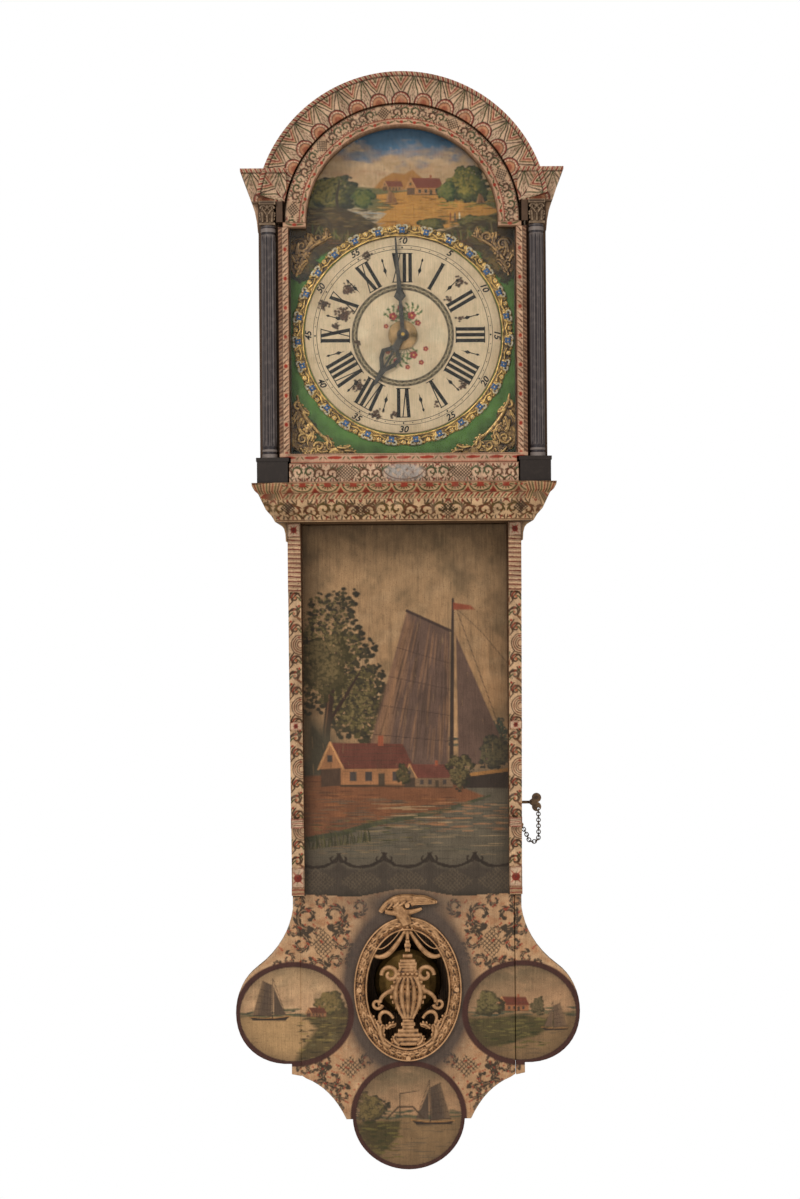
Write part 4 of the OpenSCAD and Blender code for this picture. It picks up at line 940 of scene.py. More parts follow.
for side, name in ((-1, "rail_left"), (1, "rail_right")):
    heights, depths = rail_steps.T
    path = np.concatenate([np.linspace(-1, 0, 15)[:-1], np.linspace(0, 17, 19), np.linspace(17, 18, 15)[1:]])
    u, v = np.meshgrid(np.arange(len(heights)), path, indexing="ij")
    deep, tall = depths[u], heights[u]
    inner, outer = v < 0, v > 17
    x = side * (139 + np.clip(v, 0, 17))
    ridged = (tall > -541) & (tall < -467) & ~inner & ~outer
    notch = 0.7 * np.where(ridged, np.abs((tall % 6.1) - 3) / 3 - 0.5, 0)
    waves = ripple((139 + np.clip(v, 0, 17)).ravel(), tall.ravel(), 9, 84, 2).reshape(tall.shape)
    carved = 0.6 * waves * (tall < -541)
    share = np.where(inner, 1 + v, np.where(outer, 18 - v, 1))
    y = -95 - share * (deep - 0.4 - np.clip(notch + carved, -0.4, 1.4))
    face = np.where(inner, -8.5 + v * deep, np.where(outer, 8.5 + (v - 17) * deep, v - 8.5))
    panel = Panel((-side * face).ravel(), tall.ravel(), CREAM)
    rail_paint(panel)
    painted_moulding(name, np.stack([x, y, tall], 2), "case", None, "rails", panel)


# The console under the hood: one long moulding in front and one on each side, in deal, with rows of
# fans, feather strokes and leaf scrolls painted over a cream ground in red and green.
console = along([(0, -399), (0.4, -403), (3.5, -409), (8.5, -413.5), (11, -418), (13.2, -424), (17, -433),
                 (24, -441), (26, -444.5), (28.2, -448.5)], 0.9)
way_down = np.concatenate([[0], np.cumsum(np.hypot(*np.diff(console, axis=0).T))])


def console_paint(panel):
    """Across is along the moulding from its middle, up is the way down its face."""
    view = panel.seen_as(panel.across, -panel.up)
    panel.lay("#c39d74")
    row = cells(hand_drawn(view, 0.5, 91), 33, False)
    row.lay("#b98e64", (panel.up < 15.5) * 0.8)
    row.level(-17, 17, -1.0, 1.4, "#6d3a22")
    row.brush(arc(0, -1.5, 14.2, 180, 360, 18, 12), 2.0, "#3c4524", 1.0, 1, 1)
    row.brush(arc(0, -1.5, 11.4, 184, 356, 16, 9.2), 1.0, "#cba47c", 0.9, 1, 1)
    for k in range(7):
        a = math.radians(198 + 24 * k)
        row.brush([(6 * math.cos(a), -2 + 4.8 * math.sin(a)), (10.6 * math.cos(a), -2 + 8.2 * math.sin(a))],
                  1.9, (GREEN, BROWN)[k % 2], 0.95, 1, 0.5)
    row.fill([(-4.4, -0.8), (4.4, -0.8), (4.4, -6.6), (-4.4, -6.6)], "#8e3420", 0.95)
    for s in (-1, 1):
        row.fill([(s * 16.5 - 5.4, -15), (s * 16.5 + 5.4, -15), (s * 16.5, -6)], "#86311f", 1.0)
        row.dab(s * 12.5, -3.6, 1.9, 1.4, RED, 0.95)
    view.level(-400, 400, -15.7, 1.2, "#5f3a24")
    feather = cells(hand_drawn(view, 0.5, 92), 8.6, False)
    for s in (0, 1):
        feather.brush([(-3.6 + 4.2 * s, -24), (-0.9 + 4.2 * s, -19.8), (2.2 + 4.2 * s, -16.8)], 2.4 - 0.3 * s,
                      ("#84301f", "#454a26")[s], 0.95, 0.5, 1)
    view.level(-400, 400, -24.8, 1.0, BROWN, 0.8)
    band = view.seen_as(view.across, view.up, panel.up > 24.8)
    band.lay("#cba47a")
    frieze(band, -40.2, 28, 38, "#57431f", "#5f381e")
    for shift in (-57, 57):
        lattice(band, shift, -40, 13, 13, 4.6, INK, 1.5)
    band.level(-400, 400, -56.2, 1.8, "#5f3a22")
    rub(view, 93, 0.4)


console_top = 197.7
u, v = np.meshgrid(np.linspace(-1, 1, 440), np.arange(len(console)), indexing="ij")
front = np.stack([u * (console_top - console[v, 0]), -215 + console[v, 0], console[v, 1]], 2)
panel = Panel(front[:, :, 0].ravel(), way_down[v].ravel(), CREAM)
console_paint(panel)
view = panel.seen_as(panel.across, -panel.up)
for s in (-1, 1):
    end = view.seen_as(s * view.across, view.up, (s * view.across > 158) * (view.up > -25.5))
    end.lay("#c0966c")
    for k in range(14):
        end.brush([(154 + 3.3 * k, -26), (158 + 3.4 * k, -13 + 0.3 * k), (153 + 4.2 * k, -1)], 2.0,
                  ("#474f28", "#86331f", "#4a321e")[k % 3], 0.95, 0.6, 0.8)
view.lay("#6b4a30", 0.25 * (np.abs(view.across) > 140))
for px in (-152, 152):
    lattice(view, px, -37, 10, 10, 4.2, INK, 1.4)
painted_moulding("console_front_painted", front, "case", (1, -185), "console_front", panel)
hollow = along([(0, -448.5), (5, -450.5), (9.2, -456), (11, -463), (11.5, -473)], 1.5)
for side, name in ((-1, "left"), (1, "right")):
    v, u = np.meshgrid(np.arange(len(console)), np.linspace(0, 1, 120), indexing="xy")
    deep = -215 + console[v, 0] + u * (199 - console[v, 0])
    front = np.stack([side * (console_top - console[v, 0]), deep, console[v, 1]], 2)
    panel = Panel(deep.ravel() + 115, way_down[v].ravel(), CREAM)
    console_paint(panel)
    painted_moulding("console_return_" + name, front, "case", (0, side * 167.7), "console_returns", panel)
    v, u = np.meshgrid(np.arange(len(hollow)), np.linspace(0, 1, 70), indexing="xy")
    front = np.stack([side * (169.5 - hollow[v, 0]), -150 + 134 * u, hollow[v, 1]], 2)
    panel = Panel(front[:, :, 1].ravel(), front[:, :, 2].ravel(), "#b8946c")
    panel.lay("#8a5f44", 0.7 * np.exp(-np.abs(panel.up + 466) / 4))
    rub(panel, 95, 0.5)
    painted_moulding("console_hollow_" + name, front, "case", (0, side * 156), "console_returns", panel)


# The cornice: an arched deal moulding that flares towards the front, with an ear on each side and
# boards that run back along the hood. Rows of shells, lancet leaves and striped chevrons cover it.
arch_z, cornice_foot, cornice_high = -60, -32.5, 36
cornice_shape = [(0, 0), (0.06, 1.2), (0.25, 1.8), (0.5, 4), (0.72, 8.5), (0.78, 11), (0.84, 11.6),
                 (0.9, 14), (1, 15)]
cornice = along([(cornice_high * way, out) for way, out in cornice_shape], 0.9)
u, v = np.meshgrid(np.radians(np.linspace(10.2, 169.8, 540)), np.arange(len(cornice)), indexing="ij")
radius = 155 + cornice[v, 0]
front = np.stack([radius * np.cos(u), -206 - cornice[v, 1], arch_z + radius * np.sin(u)], 2)
panel = Panel(((u - math.pi / 2) * 173).ravel(), cornice[v, 0].ravel(), CREAM)
fans(panel, cornice_high, math.radians(10.6) * 173)
rub(panel, 101, 0.4)
painted_moulding("cornice_arch_painted", front, "hood", (1, -190), "cornice_arch", panel)
ear_high = 39.3
ear_steps = along([(s[0] * ear_high / cornice_high, s[1]) for s in cornice], 1.3)
profile = [(188.8, -69), (190, -56), (192.5, -43), (196, cornice_foot), (199.5, -22), (204, -8), (207.5, 1),
           (209, 3), (209, 6.8)]
for side, name in ((-1, "left"), (1, "right")):
    v, u = np.meshgrid(np.arange(len(ear_steps)), np.linspace(0, 1, 44), indexing="ij")
    height = cornice_foot + ear_steps[v, 0]
    inner = np.maximum(150, np.sqrt(155.2 ** 2 - (height - arch_z) ** 2))
    outer = np.interp(height, [z for _, z in profile[3:]], [x for x, _ in profile[3:]])
    x = side * (inner + u * (outer - inner))
    panel = Panel((np.abs(x) - 177).ravel(), ear_steps[v, 0].ravel(), CREAM)
    fans(panel, ear_high, 37)
    rub(panel, 103, 0.4)
    painted_moulding("cornice_ear_" + name, np.stack([x, -206 - ear_steps[v, 1], height], 2), "hood",
                     (1, -190), "cornice_arch", panel)
    edge = along(profile, 1.6)
    u, v = np.meshgrid(np.linspace(-190, -16, 100), np.arange(len(edge)), indexing="ij")
    panel = Panel((u + 100).ravel(), (edge[v, 1] - cornice_foot).ravel(), "#b58f70")
    fans(panel.seen_as(panel.across, panel.up, panel.up > 0), ear_high, 37)
    rub(panel, 104, 0.6)
    painted_moulding("cornice_side_" + name, np.stack([side * edge[v, 0], u, edge[v, 1]], 2), "hood",
                     (0, side * 188), "cornice_sides", panel)


# The door's frame: oak, arched at the top, painted cream with C-scrolls, lattice and berries on the
# arch, and with a slanted rope of brown strokes down each stile.
def arch_paint(panel):
    radius = np.hypot(panel.across, panel.up - arch_z)
    angle = np.arctan2(panel.up - arch_z, panel.across)
    panel.lay("#bd9878")
    band = panel.seen_as((angle - math.pi / 2) * 142, radius - 125, panel.up > arch_z)
    band.lay("#b98f70", (band.up < 8) * 0.9)
    frieze(band, 17.2, 17, 23, "#3d4326", "#4b3020")
    view = cells(hand_drawn(band, 0.4, 111), 92, False, 23)
    view.lay("#b48f6e", (np.abs(view.across) < 9) & (band.up > 9.5))
    lattice(view, 0, 17.5, 10, 9.5, 3.9, INK, 1.25)
    band.level(-300, 300, 8.4, 1.3, BRICK)
    band.level(-300, 300, 26.2, 1.2, INK, 0.95)
    bead = cells(hand_drawn(band, 0.3, 113), 19, False)
    bead.dab(0, 4.2, 2.6, 2.0, RED)
    for s in (-1, 1):
        comma(bead, s * 3.2, 4.0, 5.6, 90 - s * 72, 0.2, 1.9, GREEN, 0.95)
        comma(bead, s * 9.4, 6.4, 5.4, -90 + s * 30, 0.3, 1.6, BROWN, 0.95)
    bead.level(-9.5, 9.5, 0.7, 1.2, BROWN, 0.8)
    foot = panel.seen_as(np.abs(panel.across) - 140, panel.up + 63, panel.up <= arch_z)
    foot.lay("#b98f70")
    foot.level(-16, 16, 2.2, 1.1, BROWN)
    foot.dab(0, -0.6, 3.4, 1.9, RED)
    for s in (-1, 1):
        comma(foot, s * 4, -0.6, 8, 90 - s * 80, 0.15, 2.2, GREEN, 0.95)
    rub(panel, 112, 0.4)


def stile_paint(panel):
    x, z = panel.across, panel.up
    panel.lay("#b8906f")
    for s in (-1, 1):
        strip = hand_drawn(panel.seen_as((x - s * 152.2) * s, z, (x * s > 147) * (z > -363)), 0.35, 121)
        strip.lay("#cda786", 0.9 * np.clip(1 - np.abs(strip.across) / 5, 0, 1))
        rope = strip.seen_as(strip.across, (strip.up % 7.4) - 3.7)
        rope.brush([(-3.4, 3.7), (0.4, 0.4), (3.2, -4.0)], 1.9, "#553320", 0.95, 0.5, 1)
        rope.brush([(-3.4, 0.2), (-0.6, -1.8), (1.2, -4.2)], 1.0, "#8b4632", 0.85)
        berry = strip.seen_as(strip.across, (strip.up % 38) - 19)
        berry.dab(0.2, 0, 3.0, 3.6, "#c0906f")
        berry.dab(0.2, 0, 2.3, 2.6, RED)
        strip.brush([(-4.2, 0), (-4.2, -400)], 1.2, "#6d3f2c", 0.9, 1, 1)
        outer = panel.seen_as((x - s * 159.2) * s, (z % 5.2) - 2.6, x * s > 156.6)
        outer.lay("#5a3a2a")
        outer.brush([(-2.4, 1.8), (2.4, -1.4)], 1.4, "#a27a5a", 0.8, 1, 1)
        edge = panel.seen_as((x - s * 156.4) * s, z, x * s > 147)
        edge.brush([(0, 0), (0, -400)], 0.9, "#3f2c20", 0.8, 1, 1)
    foot = panel.seen_as(x, z + 367, z < -361)
    foot.lay("#bb9072")
    dash = cells(hand_drawn(foot, 0.4, 123), 30, False)
    dash.brush([(-8, 0.4), (8, 1.0)], 4.6, RED, 0.9, 0.5, 0.5)
    for s in (-1, 1):
        dash.brush([(s * 10.5, -1.8), (s * 13.5, 2.0)], 1.8, GREEN, 0.9)
    foot.level(-150, 150, -5.2, 1.1, "#a4563f")
    foot.level(-150, 150, 4.6, 1.1, BROWN, 0.8)
    rub(panel, 124, 0.45)


arch_loop = np.concatenate([arc(0, arch_z, 152, 0, 180, 90), [[-155, arch_z], [-155, -66], [-125, -66]],
                            arc(0, arch_z, 125, 180, 0, 76), [[125, -66], [155, -66], [155, arch_z]]])
stile_loop = [(161.5, -66), (148, -66), (148, -361), (-148, -361), (-148, -66), (-161.5, -66),
              (-161.5, -365.6), (-147, -365.6), (-147, -373), (147, -373), (147, -365.6), (161.5, -365.6)]
for name, loop, y_front, painter in (("door_arch_painted", arch_loop, -207.5, arch_paint),
                                     ("door_stiles_painted", stile_loop, -206, stile_paint)):
    painted_board(name, [loop], "door_frame", y_front, -190.6, 0.85, painter, frieze_paint, "door", CREAM)


# The fixed rail under the door, with scrolls and lattice in the same paint, and the columns' parts:
# fluted shafts ebonised to a slate black, carved and smoked capitals, and square black pedestals.
def lower_rail_paint(panel):
    view = panel.seen_as(panel.across, panel.up + 386)
    panel.lay("#cba585")
    frieze(view, 0, 21, 29, "#414728", "#563420")
    for s in (-1, 1):
        patch = view.seen_as(view.across - s * 74, view.up)
        patch.fill([(-16, 0), (0, 12), (16, 0), (0, -12)], "#c19b7a")
        lattice(patch, 0, 0, 16, 12, 4.2, INK, 1.35)
    shield = np.clip(1.25 - np.hypot(view.across / 28, view.up / 12.5) ** 4, 0, 1)
    view.lay("#a1968c", shield * np.clip(0.8 + 0.5 * ripple(view.across, view.up, 9, 131), 0.3, 1))
    view.brush(arc(0, 6, 27, 190, 350, 22, 15), 1.5, "#6a4b38", 0.8, 1, 1)
    for z in (-11.7, 11.4):
        view.level(-160, 160, z, 1.1, "#8d5a45", 0.8)
    rub(panel, 132, 0.45)


rail_loop = [(-149.4, -398.9), (149.4, -398.9), (149.4, -373.6), (-149.4, -373.6)]
painted_board("hood_lower_rail_painted", [rail_loop], "hood_lower_rail", -206, -190, 0.85, lower_rail_paint,
              frieze_paint, "hood", CREAM)



def dark_wood(name, dark, worn, worn_share, roughness=0.42, rubbed=0.0):
    """Blackened wood. Soot and wax keep a low sheen; edges and raised parts wear to brown and grey."""
    made, tree, shader = material(name, roughness, ior=1.5)
    place = here(tree)
    edge = remap(tree, add(tree, "NewGeometry").outputs["Pointiness"], 0.5, 0.56, 0.0, rubbed)
    spots = remap(tree, noise(tree, place, 110.0, 6.0, 0.65), 0.5, 0.75, 0.0, worn_share)
    tone = mix(tree, join(tree, "ADD", edge, spots, True), colour_of(dark), colour_of(worn))
    surface(tree, shader, tone, noise(tree, place, 700.0, 3.0), 0.25, 0.3)
    return made


def tube(rings, count):
    """The four-sided faces between rings of points."""
    return [(i * count + j, i * count + (j + 1) % count, (i + 1) * count + (j + 1) % count,
             (i + 1) * count + j) for i in range(rings - 1) for j in range(count)]


slate_black = dark_wood("ebonised_slate_black", "#322c2d", "#776b64", 0.45, rubbed=1.0)
pedestal_black = dark_wood("ebonised_block", "#2c241f", "#463b33", 0.4)
smoked_carving = dark_wood("smoked_carving", "#453324", "#a78c6f", 0.6, 0.55, 0.8)
dress(pedestal_black, "pedestals")
dress(dark_wood("smoked_frame", "#3b2b20", "#6b4f38", 0.4, 0.6, 0.3), "hood_front_frame")
for side, name in ((-1, "left"), (1, "right")):
    z = np.concatenate([[-366, -361.3, -361, -360, -358.2, -358, -355.2, -355, -353, -351],
                        np.linspace(-350, -78, 70), [-76, -75.8, -73, -72.8, -68, -67.8, -64.1]])
    r = np.concatenate([[9.9, 9.9, 9.2, 8.7, 8.7, 9.7, 9.7, 9.1, 8.8, 9.3], np.full(70, 9.45),
                        [9.4, 8.9, 8.9, 9.7, 9.7, 9.3, 9.3]])
    around = 108
    turn = np.linspace(0, 2 * math.pi, around + 1)[:-1]
    flute = 1.45 * np.clip(np.cos(9 * turn - math.pi), 0, 1)
    fluted = np.clip(np.minimum(z + 351, -77 - z) / 4, 0, 1)
    radius = r[:, None] - fluted[:, None] * flute[None, :]
    points = np.stack([side * 174.5 + radius * np.cos(turn), -200 + radius * np.sin(turn),
                       np.repeat(z[:, None], around, 1)], 2).reshape(-1, 3)
    caps = [list(range(around - 1, -1, -1)), [(len(z) - 1) * around + j for j in range(around)]]
    column = mesh_object("column_" + name, points, tube(len(z), around) + caps, "hood")
    column.data.set_sharp_from_angle(angle=math.radians(50))
    column.data.materials.append(slate_black)
    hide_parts("columns")



class Casting:
    """Blobs and tapered rods gathered into one skin, as carving and cast brass are. Millimetres."""

    def __init__(self):
        self.points, self.faces = [], []

    def shape(self, points, faces):
        first = len(self.points)
        self.points += [tuple(p) for p in points]
        self.faces += [[first + i for i in f] for f in faces]

    def blob(self, centre, size, turn=0.0):
        """An ellipsoid, turned in the plane of the front."""
        c, s = math.cos(math.radians(turn)), math.sin(math.radians(turn))
        points = []
        for i in range(1, 6):
            for j in range(8):
                a, b = math.pi * i / 6, math.pi * j / 4
                px, pz = size[0] * math.sin(a) * math.cos(b), size[2] * math.cos(a)
                py = size[1] * math.sin(a) * math.sin(b)
                points.append((centre[0] + px * c - pz * s, centre[1] + py, centre[2] + px * s + pz * c))
        for z in (size[2], -size[2]):
            points.append((centre[0] - z * s, centre[1], centre[2] + z * c))
        faces = tube(5, 8)
        faces += [(40, (j + 1) % 8, j) for j in range(8)] + [(41, 32 + j, 32 + (j + 1) % 8) for j in range(8)]
        self.shape(points, faces)

    def rod(self, path, radii, y, deep):
        """A rod along points across and up, round or flattened, at depth y. radii is one, two or many."""
        path = np.asarray(path, float)
        count = len(path)
        radii = np.interp(np.linspace(0, 1, count), np.linspace(0, 1, len(radii)), radii)
        ahead = np.gradient(path, axis=0)
        ahead /= np.maximum(np.hypot(*ahead.T), 1e-9)[:, None]
        ring = np.linspace(0, 2 * math.pi, 9)[:-1]
        points = []
        for i in range(count):
            for a in ring:
                aside = radii[i] * math.cos(a)
                points.append((path[i, 0] - ahead[i, 1] * aside, y + deep * radii[i] * math.sin(a),
                               path[i, 1] + ahead[i, 0] * aside))
        faces = tube(count, 8)
        faces += [list(range(7, -1, -1)), [8 * (count - 1) + j for j in range(8)]]
        self.shape(points, faces)

    def leaf(self, x, z, length, turn, bend, wide, y, thick):
        """An acanthus leaf: a curled rib with lobes on both sides."""
        rib = curl_leaf(x, z, length, turn, bend)
        self.rod(rib, [0.2 * wide, 0.26 * wide, 0.1 * wide], y - 0.25 * thick, 0.9)
        for k in range(1, len(rib) - 1, 2):
            way = heading(rib[k - 1], rib[k + 1])
            share = math.sin(math.pi * (0.25 + 0.75 * k / len(rib)))
            for s in (-1, 1):
                a = math.radians(way + s * 62)
                lobe = rib[k] + 0.42 * wide * share * np.array([math.cos(a), math.sin(a)])
                size = (0.36 * wide * share, 0.42 * thick, 0.2 * wide)
                self.blob((lobe[0], y + 0.3 * thick, lobe[1]), size, way + s * 40)

    def made(self, name, body, finish, voxel, node, low, high):
        """The joined skin as an object in place of its node, kept between two depths."""
        thing = mesh_object(name, self.points, self.faces, body)
        skin = thing.modifiers.new("skin", "REMESH")
        skin.mode, skin.voxel_size, skin.use_smooth_shade = "VOXEL", voxel * MM, True
        soft = thing.modifiers.new("soft", "SMOOTH")
        soft.factor, soft.iterations = 0.5, 1
        held = thing.evaluated_get(bpy.context.evaluated_depsgraph_get())
        mesh = bpy.data.meshes.new_from_object(held)
        thing.modifiers.clear()
        thing.data = mesh
        co = np.empty(len(mesh.vertices) * 3, np.float32)
        mesh.vertices.foreach_get("co", co)
        co = co.reshape(-1, 3)
        co[:, 1] = np.clip(co[:, 1], low * MM, high * MM)
        mesh.vertices.foreach_set("co", co.ravel())
        mesh.update()
        mesh.polygons.foreach_set("use_smooth", [True] * len(mesh.polygons))
        mesh.materials.clear()
        mesh.materials.append(finish)
        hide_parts(node)


def curl_leaf(x, z, length, turn, bend):
    """The rib of a leaf that curls over at its tip."""
    lift = 0.3 * bend * length
    steps = bezier((0, 0), (0.45 * length, 0), (0.85 * length, lift), (0.9 * length, bend * length), 9)
    return turned(steps, x, z, turn)


def slab(casting, x0, x1, y0, y1, z0, z1):
    casting.shape([(x, y, z) for x in (x0, x1) for y in (y0, y1) for z in (z0, z1)],
                  [(0, 1, 3, 2), (4, 6, 7, 5), (0, 4, 5, 1), (2, 3, 7, 6), (0, 2, 6, 4), (1, 5, 7, 3)])


for side, name in ((-1, "left"), (1, "right")):
    cap = Casting()
    cx = side * 175
    slab(cap, cx - 8.2, cx + 8.2, -207.5, -190.4, -63.6, -36)
    slab(cap, cx - 10.8, cx + 10.8, -211.6, -190.2, -37.5, -32.7)
    slab(cap, cx - 10.2, cx + 10.2, -211, -190.2, -63.9, -61.2)
    for k in range(3):
        cap.leaf(cx - 6 + 6 * k, -60, 14, 90, 0.1 * (1 - k), 7, -208.6, 2.6)
    for s in (-1, 1):
        cap.rod(curl(cx + s * 4.6, -42.6, 4.4, 90 - s * 90, s * 420, 0.75, 22), [1.5, 1.2], -209.2, 0.9)
        cap.leaf(cx + s * 1.5, -50, 9, 90 - s * 25, -s * 0.3, 5, -209, 2.4)
    cap.blob((cx, -210, -41), (2.6, 1.6, 2.6))
    cap.made("capital_" + name, "hood", smoked_carving, 0.55, "capitals", -211.8, -190.1)


# The dial plate: sheet iron, painted with a river view in the arch and grass green below it, where
# the green darkens towards the corners, with painted shade down its sides next to the door's stiles.
dial_z = -203


def dial_view(panel):
    x, z = panel.across, panel.up
    far = np.hypot(x, z - dial_z)
    panel.lay("#587738")
    # The green darkens towards the corners and edges, and in random patches.
    panel.lay("#33351d", np.clip((far - 150) / 34, 0, 0.85) + 0.3 * np.clip(ripple(x, z, 50, 141), 0, 1))
    panel.mottle("#6c8f4a", 0.35 * (far < 165), 24, 142)
    scene = panel.seen_as(x, z, z > -92 + 14 * np.cos(x / 52))
    scene.lay("#bd946e")
    scene.lay("#4f6c88", np.clip((z - 20) / 30 + 0.5 * ripple(x, 2 * z, 60, 143), 0, 1))
    cloud = ripple(x * 0.6, 1.4 * z, 40, 144, 4) * 1.6 - 0.1 + (30 - z) / 60
    scene.lay("#c9a17c", 0.9 * np.clip(cloud, 0, 1) * (z < 56))
    scene.mottle("#a87355", 0.5 * (z < 44), 34, 145, 4, 0.5, 1.8)
    scene.fill([(-40, -12), (-26, 4), (-12, 12), (4, 10), (14, 16), (30, 2), (44, -10)], "#a9713c", 0.9, 2)
    scene.fill([(-130, -12), (-60, -6), (0, -12), (60, -4), (130, -14), (130, -50), (-130, -44)], "#6a5f3c",
               0.95, 2)
    scene.fill([(-40, -18), (20, -12), (90, -22), (130, -40), (60, -62), (-10, -66), (-50, -50),
                (-10, -34)], "#bf8240", 0.97, 1.6)
    strokes(scene, -34, 124, -64, -20, ("#d0964c", "#85552a", "#c08644", "#684526"), 190, 146, 20, 1.8, 0.8)
    strokes(scene, 50, 126, -34, -8, ("#6d7036", "#8d8a42", "#4d4f26", "#a07c3e"), 120, 141, 14, 1.8, 0.8)
    scene.fill([(-110, -40), (-60, -34), (-20, -42), (-36, -56), (-80, -60), (-116, -54)], "#b79a7c", 0.95,
               1.6)
    strokes(scene, -104, -30, -56, -38, ("#7d8d96", "#c0aa92", "#6d8290"), 34, 147, 22, 1.6, 0.7)
    farmhouse(scene, 30, -18, 23, "#b87c48", "#7a3a2a", "#664732")
    farmhouse(scene, -12, -12, 13, "#a87548", "#7c3f2e", "#664732")
    trees(scene, 88, -6, 28, 24, 148, ("#2b2a1a", "#414022", "#5f5a2c", "#8f7838"))
    trees(scene, 60, -14, 12, 12, 149, ("#26301c", "#444c27", "#75703a"))
    trees(scene, -90, -16, 32, 24, 150, ("#2b281b", "#3f3b22", "#5f542c", "#826f3a"))
    trees(scene, -50, -22, 14, 12, 151, ("#2b3420", "#4a5029", "#6a6634"))
    scene.brush([(-84, -44), (-86, -20), (-82, 0)], 4, "#3d2c20", 0.9, 1, 0.5)
    for cx, cz, size in ((-14, -30, 15), (104, -30, 11)):
        barge(scene, cx, cz, size, "#8a5a3c", "#cf9c68")
    for k in range(9):
        scene.dab(64 + 6 * (k % 3), -44 - 3 * (k // 3), 0.9, 2.4, ("#7b3325", "#3b3a4a", "#e3d2b4")[k % 3])
    for cx, cz, wide, high in ((-104, -60, 30, 14), (-66, -66, 22, 10), (40, -56, 16, 7), (104, -58, 26, 13)):
        trees(scene, cx, cz, wide, high, int(160 + cx), ("#2a2a1a", "#3c3822", "#57502a", "#75683a"))
    scene.fill([(-150, -30), (-112, -34), (-86, -32), (-58, -42), (-34, -56), (-8, -74), (20, -78),
                (52, -66), (84, -56), (112, -46), (150, -40), (150, -100), (-150, -100)], "#47341f", 0.97,
               1.6)
    strokes(scene, -128, -34, -62, -34, ("#6d5130", "#33261a", "#7c6138", "#54452a"), 110, 153, 15, 2.6, 0.75)
    strokes(scene, 50, 128, -68, -46, ("#6a5531", "#3a3020", "#7d6a3a", "#4d4428"), 90, 154, 13, 2.4, 0.75)
    strokes(scene, -120, 120, -90, -68, ("#543a26", "#261d14", "#5c4c2c", "#6a452c"), 190, 152, 18, 3.4, 0.75)
    for k in range(60):
        px = -118 + 4 * k
        comma(scene, px, -84 + 0.0012 * px * px, 13, 90 + 30 * math.sin(5 * k), 0.4 * math.sin(3 * k), 1.8,
              ("#4c5229", "#716a36", "#2f3419", "#7d6a40")[k % 4], 0.85)
    for s in (-1, 1):
        panel.fill([(s * 60, -112), (s * 96, -92), (s * 112, -100), (s * 92, -122), (s * 80, -130)],
                   "#4f7a3a", 0.8, 4)
        trees(panel, s * 134, -104, 24, 30, 155 + s, ("#2c2218", "#413222", "#5a4428", "#7a5c30"))
        trees(panel, s * 138, -330, 20, 26, 158 + s, ("#33261a", "#47351f", "#604722"))
    # Painted shade: the plate darkens within a few millimetres of its sides below the arch, where the door's
    # stiles shade it.
    panel.lay("#2a2418", 0.8 * np.exp(-np.clip(155 - np.abs(x), 0, 99) / 7) * (z < -60))


metal_paint = oil_paint("oil_paint_on_iron", crackle=0.15, dirt=0.22, roughness=0.42, fleck=0.5)
plate_loop = np.concatenate([arc(0, arch_z, 146, 0, 180, 90),
                             [[-155, arch_z], [-155, -368], [155, -368], [155, arch_z]]])
painted_board("dial_plate_painted", [plate_loop], "dial_plate", -172, -170, 1.25, dial_view, metal_paint,
              "case", "#587738")


# The chapter disc: iron under thick cream paint, lettered in black. The paint has flaked over rust
# near X and IX, and sprays of red flowers fill the middle inside a grey leaf ring.
roses = ((-13, 25, 4.2), (12, 26, 4.4), (20, 16, 3.2), (-3, 36, 3.2), (-22, 12, 2.6), (14, -26, 4.2),
         (24, -36, 2.8), (-9, -34, 3.2), (30, -18, 2.8), (-20, -22, 2.4), (6, -42, 2.6))
rust_patches = ((-71, 62, 9, 70), (-78, 28, 12, 110), (-104, 42, 8, 50), (-47, 106, 7, 40), (-88, 12, 6, 22),
                (76, 70, 8, 30), (60, 46, 6, 14), (-60, -10, 5, 14), (78, -66, 8, 24), (-58, -66, 10, 60),
                (-36, -104, 9, 40), (74, 22, 5, 12), (-12, -106, 6, 16), (44, -92, 5, 8))


